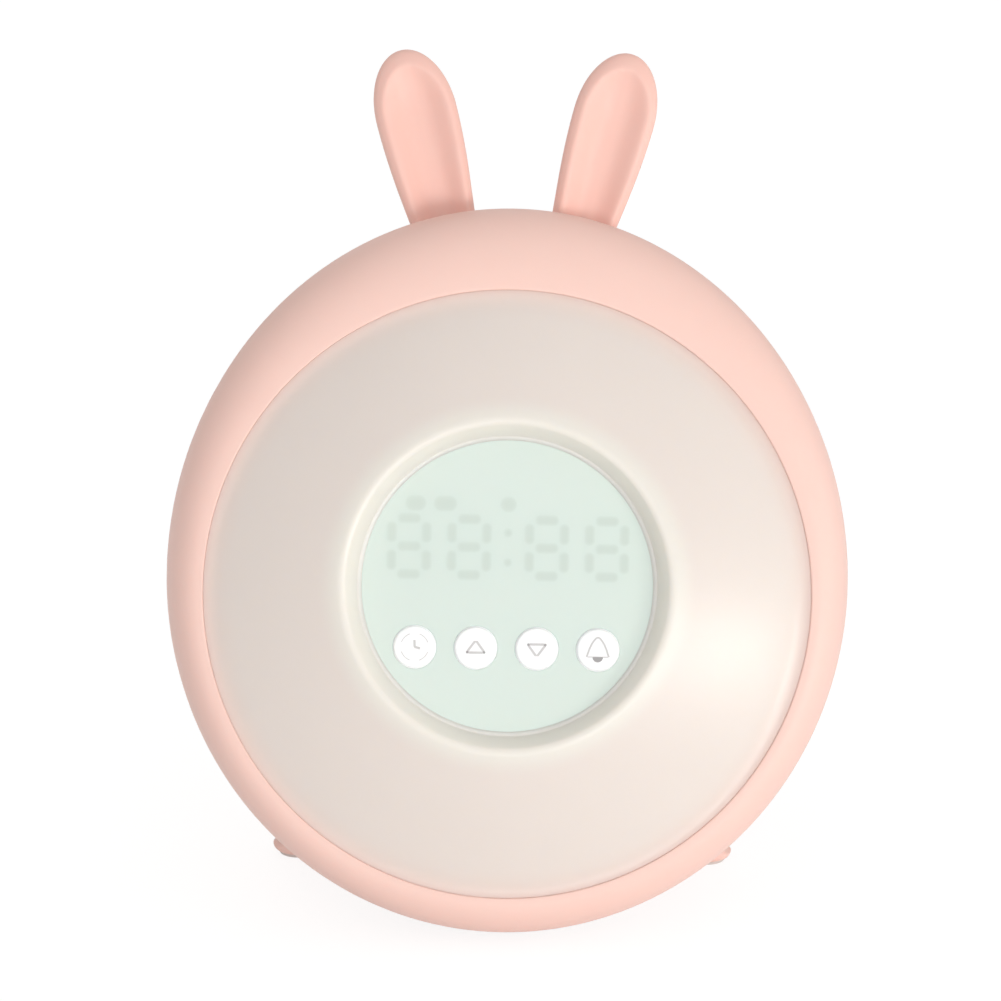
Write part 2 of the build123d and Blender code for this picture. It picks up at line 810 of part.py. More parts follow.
for side, side_name in ((-1, "left"), (1, "right")):
    frame = ear_frame(side)
    with BuildPart() as ear:
        reaches = [-ear_sink, 0, ear_widest / 3, ear_widest * 2 / 3, ear_widest]
        sections = []
        for reach in reaches + cap_reaches(ear_widest, ear_length):
            half_width, half_thickness = ear_halves(reach)
            sections.append(oval(frame.offset(reach), 0, half_width, half_thickness))
        loft(sections=sections)
        # the hollow in the front, open down to the root
        scoop_origin = frame.origin - frame.y_dir * (ear_half_thickness + scoop_offset)
        scoop_end = ear_length - scoop_end_gap
        with BuildSketch(Plane(origin=scoop_origin, x_dir=frame.y_dir, z_dir=frame.x_dir)):
            with BuildLine():
                ThreePointArc(
                    (scoop_root_radius, -ear_sink), (scoop_radius, scoop_widest), (scoop_offset, scoop_end)
                )
                Polyline(
                    (scoop_offset, scoop_end), (0, scoop_end), (0, -ear_sink), (scoop_root_radius, -ear_sink)
                )
            make_face()
        revolve(axis=Axis(scoop_origin, frame.z_dir), mode=Mode.SUBTRACT)
        loft(sections=rear_sections(-trim_gap), mode=Mode.SUBTRACT)
        with BuildSketch(frame.offset(-peg_length)):
            Circle(peg_radius)
        extrude(amount=peg_length + peg_bite)
        with BuildSketch(frame.offset(-peg_length)):
            Circle(case_thread)
        extrude(amount=peg_screw_length, mode=Mode.SUBTRACT)
    write(ear, f"ear_{side_name}")


# ---- feet ----
for side, side_name in ((-1, "left"), (1, "right")):
    frame = foot_frame(side)
    base = foot_base(side)
    slope = frame.origin - base
    raw_slope = slope * ((slope.length + foot_overrun) / slope.length)
    with BuildPart() as foot:
        sections = []
        for share in (0, 0.5, 1):
            middle = base + raw_slope * share
            radius = foot_tip_radius + (foot_root_radius - foot_tip_radius) * share
            sections.append(oval(Plane(origin=middle, x_dir=across, z_dir=(0, 0, 1)), 0, radius, radius))
        loft(sections=sections)
        fillet(foot.edges().group_by(Axis.Z)[0], radius=foot_round)
        loft(sections=rear_sections(-trim_gap), mode=Mode.SUBTRACT)
        with BuildSketch(Plane.XY.offset(pad_proud)):
            with Locations((base.X, base.Y)):
                Circle(foot_tip_radius - pad_inset)
        extrude(amount=pad_thickness - pad_proud, mode=Mode.SUBTRACT)
        with BuildSketch(frame.offset(-peg_length)):
            Circle(peg_radius)
        extrude(amount=peg_length + peg_bite)
        with BuildSketch(frame.offset(-peg_length)):
            Circle(case_thread)
        extrude(amount=peg_screw_length, mode=Mode.SUBTRACT)
    write(foot, f"foot_{side_name}")

with BuildPart() as foot_pads:
    with BuildSketch(Plane.XY):
        with Locations(*[(foot_base(side).X, foot_base(side).Y) for side in (-1, 1)]):
            Circle(foot_tip_radius - pad_inset)
    extrude(amount=pad_thickness)
write(foot_pads, "foot_pads")

with BuildPart() as base_pad:
    with BuildSketch(Plane.XY):
        with Locations((0, belly_point.Y + base_pad_drop)):
            Ellipse(base_pad_half_width, base_pad_half_depth)
    extrude(amount=pad_proud)
write(base_pad, "base_pad")


# ---- speaker ----
speaker = Plane(
    origin=face.origin + face_up * speaker_rise + face_out * back_inside, x_dir=across, z_dir=face_out
)
speaker_axis = Axis(speaker.origin, face_out)
basket_back = magnet_radius + cone_wall
with BuildPart() as speaker_frame:
    with BuildSketch(level_plane(speaker.origin)):
        with BuildLine():
            Polyline(
                (speaker_basket_radius - basket_wall, 0),
                (speaker_radius, 0),
                (speaker_radius, speaker_flange),
                (speaker_basket_radius, speaker_flange),
                (basket_back, speaker_depth),
                (0, speaker_depth),
                (0, speaker_depth - basket_wall),
                (basket_back - basket_wall, speaker_depth - basket_wall),
                (speaker_basket_radius - basket_wall, basket_wall),
                close=True,
            )
        make_face()
    revolve(axis=speaker_axis)
write(speaker_frame, "speaker_frame")

cone_edge = speaker_basket_radius - basket_wall - cone_gap
with BuildPart() as speaker_cone:
    with BuildSketch(level_plane(speaker.origin)):
        with BuildLine():
            Polyline(
                (cone_edge, cone_start),
                (cap_radius, cone_start + cone_rise),
                (0, cone_start + cone_rise - cap_bulge),
                (0, cone_start + cone_rise - cap_bulge + cone_wall),
                (cap_radius, cone_start + cone_rise + cone_wall),
                (cone_edge, cone_start + cone_wall),
                close=True,
            )
        make_face()
    revolve(axis=speaker_axis)
write(speaker_cone, "speaker_cone")

with BuildPart() as speaker_magnet:
    with BuildSketch(speaker.offset(speaker_depth)):
        Circle(magnet_radius)
    extrude(amount=magnet_height)
    chamfer(speaker_magnet.edges().filter_by(GeomType.CIRCLE).sort_by(face_axis)[-1], length=magnet_chamfer)
write(speaker_magnet, "speaker_magnet")

with BuildPart() as speaker_clamp:
    with BuildSketch(speaker.offset(speaker_flange)):
        Circle(clamp_radius)
        Circle(speaker_radius - clamp_overlap, mode=Mode.SUBTRACT)
        with Locations(*ring_points(clamp_screw_ring, clamp_screw_angles)):
            Circle(small_thread + through_gap, mode=Mode.SUBTRACT)
    extrude(amount=clamp_thickness)
write(speaker_clamp, "speaker_clamp")


# ---- power_board, charging inlet and mode switch ----
with BuildPart() as power_board:
    with BuildSketch(face.offset(board_edge)):
        with Locations((0, port_level - board_thickness / 2)):
            Rectangle(power_board_width, board_thickness)
    extrude(amount=power_board_length)
    with BuildSketch(board_screw_plane):
        with Locations(*board_screw_points):
            Circle(small_thread + through_gap)
    extrude(amount=board_thickness, mode=Mode.SUBTRACT)
write(power_board, "power_board")

port_mouth = -rear_depth + port_recess
with BuildPart() as charging_port:
    with BuildSketch(face.offset(port_mouth)):
        with Locations((port_offset, -port_drop)):
            SlotOverall(port_width, port_height)
    extrude(amount=port_length)
    with BuildSketch(face.offset(port_mouth)):
        with Locations((port_offset, -port_drop)):
            SlotOverall(port_width - 2 * port_wall, port_height - 2 * port_wall)
    extrude(amount=port_length - port_wall, mode=Mode.SUBTRACT)
    with BuildSketch(face.offset(port_mouth + port_recess)):
        with Locations((port_offset, -port_drop)):
            Rectangle(tongue_width, tongue_height)
    extrude(amount=port_length - port_recess - port_wall)
write(charging_port, "charging_port")

switch_face = back_inside + switch_gap
with BuildPart() as switch_body:
    with BuildSketch(face.offset(switch_face)):
        with Locations((switch_offset, knob_level)):
            Rectangle(switch_width, switch_height)
    extrude(amount=switch_depth)
    with BuildSketch(face.offset(switch_face)):
        with Locations((switch_offset, knob_level)):
            Rectangle(knob_neck + switch_travel + 2 * neck_gap, knob_neck + 2 * neck_gap)
    extrude(amount=neck_sink + neck_gap, mode=Mode.SUBTRACT)
write(switch_body, "switch_body")

with BuildPart() as switch_knob:
    knob_spot = (switch_offset - switch_travel / 2, knob_level)
    with BuildSketch(face.offset(-rear_depth - knob_proud)):
        with Locations(knob_spot):
            Rectangle(knob_width, knob_height)
    extrude(amount=knob_proud + rear_depth + switch_face - knob_gap)
    with BuildSketch(face.offset(-rear_depth - knob_proud)):
        with Locations(knob_spot):
            with GridLocations(knob_groove * 2, 0, 3, 1):
                Rectangle(knob_groove, knob_height)
    extrude(amount=knob_groove, mode=Mode.SUBTRACT)
    with BuildSketch(face.offset(switch_face - knob_gap)):
        with Locations(knob_spot):
            Rectangle(knob_neck, knob_neck)
    extrude(amount=knob_gap + neck_sink)
write(switch_knob, "switch_knob")


# ---- battery ----
pocket_half = cell_length / 2 + cell_nub_height + contact_thickness + cell_gap / 2
pocket_side = cell_radius + cell_gap
with BuildPart() as battery_cradle:
    with BuildSketch(face.offset(tray_floor)):
        with Locations((0, -cell_drop)):
            Rectangle(2 * (pocket_half + cradle_wall), 2 * (pocket_side + cradle_wall))
    extrude(amount=-cradle_height)
    with BuildSketch(face.offset(tray_floor - cradle_wall)):
        with Locations((0, -cell_drop)):
            Rectangle(2 * pocket_half, 2 * pocket_side)
    extrude(amount=-cradle_height, mode=Mode.SUBTRACT)
write(battery_cradle, "battery_cradle")

cell_middle = face.origin - face_up * cell_drop + face_out * cell_level
cell_end = Plane(origin=cell_middle - across * (cell_length / 2), x_dir=face_up, z_dir=across)
with BuildPart() as battery_cell:
    with BuildSketch(cell_end):
        Circle(cell_radius)
    extrude(amount=cell_length)
    with BuildSketch(cell_end.offset(cell_length)):
        Circle(cell_nub_radius)
    extrude(amount=cell_nub_height)
write(battery_cell, "battery_cell")

with BuildPart() as battery_contacts:
    with BuildSketch(cell_end.offset(cell_length + cell_nub_height)):
        Rectangle(contact_size, contact_size)
    extrude(amount=contact_thickness)
    with BuildSketch(cell_end.offset(-cell_nub_height)):
        Rectangle(contact_size, contact_size)
    extrude(amount=-contact_thickness)
    with BuildSketch(cell_end.offset(-cell_nub_height)):
        Circle(cell_nub_radius)
    extrude(amount=cell_nub_height)
write(battery_contacts, "battery_contacts")


# ---- screws and washers ----
tray_screws = screws(
    face.offset(rim_floor), tray_points, small_thread, tray_rim_wall + rim_back - flange_back + seat_gap
)
write(tray_screws, "tray_screws")
case_screws = screws(
    face.offset(-case_screw_seat), case_points, case_thread, case_screw_seat + case_screw_bite
)
write(case_screws, "case_screws")

well_down = Plane(origin=well.offset(board_front).origin, x_dir=across * -1, z_dir=face_out * -1)
face_down = Plane(origin=face.offset(light_board_front).origin, x_dir=across * -1, z_dir=face_out * -1)
main_screws = screws(well_down, main_board_points, small_thread, board_screw_length)
light_screws = screws(face_down, light_board_points, small_thread, board_screw_length)
with BuildPart() as board_screws:
    add(main_screws.part)
    add(light_screws.part)
write(board_screws, "board_screws")

clamp_face = speaker.offset(speaker_flange + clamp_thickness)
clamp_down = Plane(origin=clamp_face.origin, x_dir=across * -1, z_dir=face_out * -1)
speaker_points = ring_points(clamp_screw_ring, clamp_screw_angles)
speaker_screws = screws(clamp_down, speaker_points, small_thread, short_screw_length)
write(speaker_screws, "speaker_screws")
power_board_screws = screws(board_screw_plane, board_screw_points, small_thread, short_screw_length)
write(power_board_screws, "power_board_screws")

with BuildPart() as peg_screws:
    for frame in root_frames:
        peg_screw = screws(
            frame.offset(-peg_length - washer_thickness), [(0, 0)], case_thread, peg_screw_length
        )
        add(peg_screw.part)
write(peg_screws, "peg_screws")

with BuildPart() as peg_washers:
    for frame in root_frames:
        with BuildSketch(frame.offset(-peg_length - washer_thickness)):
            Circle(washer_radius)
            Circle(case_thread + thread_gap, mode=Mode.SUBTRACT)
        extrude(amount=washer_thickness)
write(peg_washers, "peg_washers")


# ---- leads and their plugs ----
def inside(offset, rise, height):
    """Point in the face's frame"""
    return face.origin + across * offset + face_up * rise + face_out * height


plug_mouth = port_level + plug_height
plug_line = board_edge + power_board_length - plug_depth
with BuildPart() as lead_plugs:
    with BuildSketch(Plane(origin=inside(0, port_level, 0), x_dir=across * -1, z_dir=face_up)):
        with Locations(*[(offset, plug_line) for offset in plug_offsets]):
            Rectangle(plug_width, plug_depth)
    extrude(amount=plug_height)
    with BuildSketch(well.offset(board_back)):
        Rectangle(plug_width, plug_depth)
    extrude(amount=-plug_height)
write(lead_plugs, "lead_plugs")


def lead(*points):
    """A sleeved pair of wires: straight runs joined by arcs as large as the runs allow"""
    radii = []
    for before, corner, after in zip(points, points[1:], points[2:]):
        run_in = corner - before
        run_out = after - corner
        turn = radians(run_in.get_angle(run_out))
        radii.append(arc_share * min(run_in.length, run_out.length) / tan(turn / 2))
    with BuildPart() as tube:
        with BuildLine() as route:
            FilletPolyline(*points, radius=radii)
        with BuildSketch(Plane(origin=points[0], z_dir=(points[1] - points[0]).normalized())):
            Circle(lead_radius)
        sweep(path=route.line)
    return tube


main_lead = lead(
    inside(0, plug_mouth, plug_line),
    inside(0, plug_mouth + plug_run, plug_line),
    inside(0, well_rise, plug_line + main_lead_bow),
    inside(0, well_rise, board_back - plug_height),
)
write(main_lead, "main_lead")

magnet_side = speaker_rise - magnet_radius
magnet_level = back_inside + speaker_depth + magnet_height / 2
speaker_lead = lead(
    inside(0, magnet_side, magnet_level),
    inside(0, magnet_side - speaker_run, magnet_level),
    inside(plug_offsets[2], plug_mouth + speaker_plug_run, plug_line),
    inside(plug_offsets[2], plug_mouth, plug_line),
)
write(speaker_lead, "speaker_lead")

cradle_top = -cell_drop + pocket_side + cradle_wall
battery_lead = lead(
    inside(plug_offsets[0], cradle_top, tray_floor - battery_exit),
    inside(plug_offsets[0], cradle_top + battery_run, tray_floor - battery_exit),
    inside(plug_offsets[0], plug_mouth + plug_run, tray_floor - battery_bow),
    inside(plug_offsets[0], plug_mouth + plug_run, plug_line),
    inside(plug_offsets[0], plug_mouth, plug_line),
)
write(battery_lead, "battery_lead")
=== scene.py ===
"""Rabbit-eared alarm clock with night light: meshes, finishes, studio and camera.

Lengths in the classes are millimetres in the face's frame (x across, y up the face, z out of it). Every
mesh is written in metres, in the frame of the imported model.
"""
import logging
from dataclasses import dataclass, field, replace
from enum import Enum
from math import acos, asin, copysign, cos, hypot, pi, radians, sin, sqrt

import bmesh
import bpy
from bpy.types import ID, Material, Node, NodeSocket, NodeTree, Object
from mathutils import Matrix, Vector


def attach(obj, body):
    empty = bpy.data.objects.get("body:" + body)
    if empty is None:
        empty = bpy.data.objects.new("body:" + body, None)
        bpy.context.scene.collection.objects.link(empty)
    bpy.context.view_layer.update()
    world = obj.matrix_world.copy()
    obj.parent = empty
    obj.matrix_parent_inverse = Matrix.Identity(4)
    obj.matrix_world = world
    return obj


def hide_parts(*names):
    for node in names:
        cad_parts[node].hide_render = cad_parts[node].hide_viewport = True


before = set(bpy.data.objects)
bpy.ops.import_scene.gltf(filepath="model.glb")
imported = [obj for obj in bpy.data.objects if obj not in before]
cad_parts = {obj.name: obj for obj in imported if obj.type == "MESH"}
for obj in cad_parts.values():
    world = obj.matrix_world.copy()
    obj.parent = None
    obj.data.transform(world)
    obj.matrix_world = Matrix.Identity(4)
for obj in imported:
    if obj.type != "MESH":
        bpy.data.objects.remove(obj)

log = logging.getLogger("clock")
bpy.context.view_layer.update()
MM = 0.001
ROUND = 192                 # points round a large outline
Pair = tuple[float, float]


# ---- small tools ----
def linear(code: str) -> tuple[float, float, float, float]:
    """Turn an sRGB hex colour into linear values.

    Args:
        code: Six hex digits, with or without a leading hash.

    Returns:
        Red, green, blue and an alpha of 1.
    """
    digits = code.lstrip("#")
    parts = [int(digits[i:i + 2], 16) / 255 for i in (0, 2, 4)]
    bent = [p / 12.92 if p <= 0.04045 else ((p + 0.055) / 1.055) ** 2.4 for p in parts]
    return bent[0], bent[1], bent[2], 1.0


def add_node(tree: NodeTree, kind: str, values: dict | None = None, links: dict | None = None,
             **settings: str) -> Node:
    """Add one shader node.

    Args:
        tree: Node tree that takes the node.
        kind: Blender's name of the node's type, without "ShaderNode" before it.
        values: Input sockets and the fixed values they get.
        links: Input sockets and the output sockets that feed them.
        settings: Properties of the node.

    Returns:
        The new node.
    """
    node = tree.nodes.new(f"ShaderNode{kind}")
    for key, value in settings.items():
        setattr(node, key, value)
    for key, value in (values or {}).items():
        node.inputs[key].default_value = value
    for key, source in (links or {}).items():
        tree.links.new(source, node.inputs[key])
    return node


def empty_tree(owner: ID) -> NodeTree:
    """Give a material or a world an empty node tree."""
    owner.use_nodes = True
    owner.node_tree.nodes.clear()
    return owner.node_tree


def new_object(name: str, data: ID) -> Object:
    """Make an object from its data and link it to the scene."""
    made = bpy.data.objects.new(name, data)
    bpy.context.scene.collection.objects.link(made)
    return made


def whole_turn(count: int, shift: float = 0.0) -> list[float]:
    """Angles of points spread evenly round a turn, moved on by a share of a step."""
    return [2 * pi * (i + shift) / count for i in range(count)]


@dataclass(frozen=True)
class Ring:
    """One oval of a skin: half sizes, middle, height and the sag of its widest line."""

    half_width: float
    half_height: float
    rise: float
    out: float
    sag: float = 0.0

    def points(self, count: int = ROUND) -> list[Vector]:
        """Points round the oval, counter-clockwise seen from in front."""
        made = []
        for angle in whole_turn(count):
            reach = self.half_height + copysign(self.sag, sin(angle))
            made.append(Vector((self.half_width * cos(angle),
                                self.rise - self.sag + reach * sin(angle), self.out)))
        return made


def round_ring(radius: float, out: float, rise: float = 0.0) -> Ring:
    """Round ring of a radius at a height."""
    return Ring(radius, radius, rise, out)


def blend_rings(first: Ring, corner: Ring, last: Ring, steps: int) -> list[Ring]:
    """Rings along a quadratic curve that rounds a corner.

    Args:
        first: Ring where the rounding starts.
        corner: Ring at the sharp corner.
        last: Ring where the rounding ends.
        steps: Number of spans.

    Returns:
        The rings, both ends included.
    """
    rings = []
    for step in range(steps + 1):
        t = step / steps
        weights = ((1 - t) ** 2, 2 * t * (1 - t), t * t)
        sizes = [sum(w * getattr(r, key) for w, r in zip(weights, (first, corner, last)))
            for key in ("half_width", "half_height", "rise", "out", "sag")]
        rings.append(Ring(*sizes))
    return rings


def axis(place: Matrix) -> Vector:
    """Unit direction of a frame's third axis."""
    return (place.to_3x3() @ Vector((0, 0, 1))).normalized()


@dataclass
class Skin:
    """Vertices and faces of a piece while it is being made, in millimetres."""

    verts: list[Vector] = field(default_factory=list)
    faces: list[list[int]] = field(default_factory=list)

    def band(self, loops: list[list[Vector]], closed: bool = False, caps: bool = False) -> None:
        """Join loops of points, one after the other, with quads.

        Args:
            loops: Loops of equally many points.
            closed: Also join the last loop to the first one.
            caps: Close the first and the last loop with a face each.
        """
        count = len(loops[0])
        start = len(self.verts)
        for loop in loops:
            self.verts.extend(loop)
        pairs = list(range(len(loops) - 1)) + ([len(loops) - 1] if closed else [])
        for row in pairs:
            a, b = start + row * count, start + ((row + 1) % len(loops)) * count
            for i in range(count):
                j = (i + 1) % count
                self.faces.append([a + i, a + j, b + j, b + i])
        if caps:
            last = start + (len(loops) - 1) * count
            self.faces.append([start + i for i in reversed(range(count))])
            self.faces.append([last + i for i in range(count)])

    def piece(self, name: str, matrix: Matrix, sharp_degrees: float = 35.0) -> Object:
        """Make the Blender object.

        Args:
            name: Name of the piece.
            matrix: Takes millimetres in the skin's frame to metres in the model's.
            sharp_degrees: Edges that turn by more stay sharp.

        Returns:
            The object, linked to the scene.
        """
        mesh = bpy.data.meshes.new(name)
        mesh.from_pydata([matrix @ v for v in self.verts], [], self.faces)
        work = bmesh.new()
        work.from_mesh(mesh)
        bmesh.ops.remove_doubles(work, verts=work.verts, dist=1e-7)
        bmesh.ops.recalc_face_normals(work, faces=work.faces)
        work.to_mesh(mesh)
        work.free()
        piece = new_object(name, mesh)
        smooth(piece, sharp_degrees)
        return piece


def smooth(piece: Object, sharp_degrees: float) -> None:
    """Shade a mesh smooth and keep the edges sharp that turn by more than an angle."""
    limit = radians(sharp_degrees)
    work = bmesh.new()
    work.from_mesh(piece.data)
    for face in work.faces:
        face.smooth = True
    for edge in work.edges:
        edge.smooth = len(edge.link_faces) == 2 and edge.calc_face_angle(0.0) < limit
    work.to_mesh(piece.data)
    work.free()


# ---- sizes that pieces share ----
@dataclass(frozen=True)
class Body:
    """The leaning oval body, in the sizes that its shells, ears and feet share."""

    lean: float = radians(18.0)
    setback: float = 14.7
    half_width: float = 79.7
    half_height: float = 84.8
    rise: float = 5.3
    sag: float = 1.9
    bezel_depth: float = 14.0
    rear_depth: float = 50.0
    back_share: float = 0.62
    flare: float = radians(8.0)
    wall: float = 2.2
    base_cut: float = 1.2
    base_level: float = 0.8
    rim_radius: float = 70.3
    rim_flat_radius: float = 71.5

    @property
    def back_angle(self) -> float:
        """Angle round the rear shell's curve at its back panel."""
        return acos(self.back_share)

    @property
    def depth_scale(self) -> float:
        """Half depth of the whole rear curve."""
        return self.rear_depth / sin(self.back_angle)

    @property
    def matrix(self) -> Matrix:
        """Takes millimetres in the face's frame to metres in the model's."""
        c, s = cos(self.lean), sin(self.lean)
        drop = hypot(self.half_height * c, self.depth_scale * s) - self.rise * c
        height = drop - self.base_cut + self.base_level
        turn = Matrix(((1, 0, 0, 0), (0, s, -c, -self.setback), (0, c, s, height), (0, 0, 0, 1)))
        return Matrix.Scale(MM, 4) @ turn

    def rear_halves(self, angle: float, inset: float) -> Pair:
        """Half width and half height of the rear shell at an angle round its curve."""
        width = (self.half_width - inset) * cos(angle - self.flare) / cos(self.flare)
        return width, (self.half_height - inset) * cos(angle)

    def front_ring(self, angle: float, inset: float) -> Ring:
        """Oval of the front shell at an angle round its curve."""
        spread = cos(angle)
        flat = self.rim_flat_radius
        width = flat + (self.half_width - inset - flat) * spread
        height = flat + (self.half_height - inset - flat) * spread
        out = (self.bezel_depth - inset) * sin(angle)
        return Ring(width, height, self.rise * spread, out, self.sag * spread)

    def outside(self, point: Vector) -> float:
        """Above 0 where a point behind the seam lies outside the rear shell."""
        angle = asin(min(max(-point.z / self.depth_scale, 0.0), 0.999))
        width, height = self.rear_halves(angle, 0.0)
        sag = self.sag * cos(angle)
        level = point.y - self.rise + sag
        return (point.x / width) ** 2 + (level / (height + copysign(sag, level))) ** 2 - 1.0

    def skin_point(self, offset: float, setback: float, side: int) -> Vector:
        """Point on the rear shell's skin, above its widest line (side 1) or below it (side -1)."""
        angle = asin(setback / self.depth_scale)
        width, height = self.rear_halves(angle, 0.0)
        sag = self.sag * cos(angle)
        rise = self.rise - sag + (side * height + sag) * sqrt(1 - (offset / width) ** 2)
        return Vector((offset, rise, -setback))

    def reach_skin(self, start: Vector, direction: Vector, low: float, high: float, gap: float) -> Vector:
        """Point on a line where it crosses the rear shell's skin.

        Args:
            start: A point on the line.
            direction: Unit direction of the line.
            low: Distance from start that lies inside the shell.
            high: Distance from start that lies outside it.
            gap: How far beyond the skin the point lies, along the direction.

        Returns:
            The point.
        """
        for _ in range(40):
            middle = (low + high) / 2
            if self.outside(start + direction * middle) > 0:
                high = middle
            else:
                low = middle
        return start + direction * (high + gap)


BODY = Body()
WELL_RISE = 2.0             # how far the well's axis lies above the diffuser's
PANEL_FRONT = 20.18         # height of the window's face
KEY_PITCH = 14.0
KEY_DROP = 14.3             # how far the keys' row lies below the well's axis
KEY_COLUMNS = tuple((i - 1.5) * KEY_PITCH for i in range(4))
SIDES = {-1: "left", 1: "right"}
SHADE = "segment_shade"     # mesh value that says how much of a segment shows


# ---- finishes ----
class Grain(Enum):
    """How a surface was made, which sets its fine pattern."""

    SPARKED = "moulded in a spark-eroded tool"
    POLISHED = "moulded in a polished tool"
    BRUSHED = "rolled or brushed metal"
    PLATED = "plated or ground metal"
    PRESSED = "pressed paper or sintered powder"


@dataclass(frozen=True)
class Finish:
    """A material and the way its surface was made."""

    name: str
    colour: str
    grain: Grain
    grain_mm: float
    relief_mm: float
    roughness: float
    ior: float = 1.5
    metallic: float = 0.0
    mottle: float = 0.03
    mottle_mm: float = 30.0
    brush_stretch: float = 0.06
    subsurface: float = 0.0
    scatter_mm: tuple[float, float, float] = (3.0, 1.6, 1.2)

    def pattern(self, tree: NodeTree, place: NodeSocket) -> NodeSocket:
        """Fine relief of the surface, from 0 to 1."""
        scale = 1 / (self.grain_mm * MM)
        if self.grain is Grain.BRUSHED:
            stretched = add_node(
                tree, "Mapping", {"Scale": (self.brush_stretch, 1.0, 1.0)}, {"Vector": place})
            place = stretched.outputs["Vector"]
        if self.grain is Grain.PRESSED:
            cells = add_node(tree, "TexVoronoi", {"Scale": scale}, {"Vector": place})
            return cells.outputs["Distance"]
        detail = 1.0 if self.grain is Grain.POLISHED else 4.0
        noise = add_node(tree, "TexNoise", {"Scale": scale, "Detail": detail}, {"Vector": place})
        return noise.outputs["Fac"]

    def tint(self, tree: NodeTree, place: NodeSocket) -> NodeSocket:
        """Colour of the surface: the base colour with faint, slow variation in its lightness."""
        red, green, blue, _ = linear(self.colour)
        cloud = add_node(
            tree, "TexNoise", {"Scale": 1 / (self.mottle_mm * MM), "Detail": 3.0}, {"Vector": place})
        low, high = 1 - self.mottle, 1 + self.mottle
        pale = tuple(min(c * high, 1.0) for c in (red, green, blue)) + (1.0,)
        mix = add_node(
            tree, "Mix", {"A": (red * low, green * low, blue * low, 1.0), "B": pale},
            {"Factor": cloud.outputs["Fac"]}, data_type="RGBA")
        return mix.outputs["Result"]

    def build(self) -> Material:
        """Make the material, once for all pieces that share it."""
        made = bpy.data.materials.get(self.name)
        if made:
            return made
        made = bpy.data.materials.new(self.name)
        tree = empty_tree(made)
        place = add_node(tree, "TexCoord").outputs["Object"]
        colour = self.tint(tree, place)
        relief = self.pattern(tree, place)
        bump = add_node(
            tree, "Bump", {"Strength": 1.0, "Distance": self.relief_mm * MM}, {"Height": relief})
        gloss = add_node(
            tree, "MapRange", {"To Min": self.roughness * 0.9, "To Max": min(self.roughness * 1.1, 1.0)},
            {"Value": relief})
        shader = add_node(
            tree, "BsdfPrincipled",
            {"IOR": self.ior, "Metallic": self.metallic, "Subsurface Weight": self.subsurface,
             "Subsurface Scale": MM, "Subsurface Radius": self.scatter_mm},
            {"Base Color": colour, "Roughness": gloss.outputs["Result"],
             "Normal": bump.outputs["Normal"]})
        add_node(tree, "OutputMaterial", links={"Surface": shader.outputs["BSDF"]})
        made.diffuse_color = linear(self.colour)
        return made


@dataclass(frozen=True)
class OpalFinish(Finish):
    """Milky plastic, with painted pink bounce light and painted shade near the rim and painted light
    towards the crest.
    """

    # Painted pink bounce light and painted shade from the rim: colour, strength, radius where it is full,
    # reach inwards and steepness.
    rim_bounce_shade_colour: str = "EFC9BD"
    rim_bounce_shade_share: float = 0.8
    edge_radius: float = 70.3
    edge_reach: float = 8.5
    edge_power: float = 3.0
    # Painted light paling the crest and foot of the well: radius about its axis, reach outwards and
    # colour.
    painted_light_bands: tuple[tuple[float, float, str], ...] = ((37.9, 6.5, "EFE8DE"), (33.4, 1.5, "F0EEE6"))

    def tint(self, tree: NodeTree, place: NodeSocket) -> NodeSocket:
        """Base colour with painted pink bounce light and painted shade near the rim and painted light at
        the crest and foot of the well, both by distance from the axis.
        """
        base = super().tint(tree, place)
        radii = []
        for rise in (0.0, WELL_RISE):
            home = BODY.matrix @ Vector((0, rise, 0))
            arm = add_node(tree, "VectorMath", {1: home}, {0: place}, operation="SUBTRACT")
            across = add_node(
                tree, "VectorMath", {1: axis(BODY.matrix)}, {0: arm.outputs["Vector"]},
                operation="CROSS_PRODUCT")
            length = add_node(tree, "VectorMath", links={0: across.outputs["Vector"]}, operation="LENGTH")
            radii.append(length.outputs["Value"])
        # Painted pink bounce light and painted shade, strongest at the rim.
        edge = add_node(
            tree, "MapRange",
            {"From Min": (self.edge_radius - self.edge_reach) * MM, "From Max": self.edge_radius * MM},
            {"Value": radii[0]})
        steep = add_node(
            tree, "Math", {1: self.edge_power}, {0: edge.outputs["Result"]}, operation="POWER")
        share = add_node(
            tree, "Math", {1: self.rim_bounce_shade_share}, {0: steep.outputs["Value"]}, operation="MULTIPLY")
        mixed = add_node(
            tree, "Mix", {"B": linear(self.rim_bounce_shade_colour)}, {"Factor": share.outputs["Value"], "A": base},
            data_type="RGBA")
        # Painted light paling the crest and the foot of the well.
        for radius, reach, colour in self.painted_light_bands:
            near = add_node(
                tree, "MapRange", {"From Min": (radius + reach) * MM, "From Max": radius * MM},
                {"Value": radii[1]}, interpolation_type="SMOOTHERSTEP")
            mixed = add_node(
                tree, "Mix", {"B": linear(colour)},
                {"Factor": near.outputs["Result"], "A": mixed.outputs["Result"]}, data_type="RGBA")
        return mixed.outputs["Result"]


@dataclass(frozen=True)
class WindowFinish(Finish):
    """Tinted plastic through which dark segments show, blurred by its thickness."""

    segment_colour: str = "CDDAD2"

    def tint(self, tree: NodeTree, place: NodeSocket) -> NodeSocket:
        """Base colour, darker where the mesh's own shade value says that a segment lies behind."""
        base = super().tint(tree, place)
        shade = add_node(tree, "Attribute", attribute_name=SHADE)
        mix = add_node(
            tree, "Mix", {"B": linear(self.segment_colour)}, {"Factor": shade.outputs["Fac"], "A": base},
            data_type="RGBA")
        return mix.outputs["Result"]


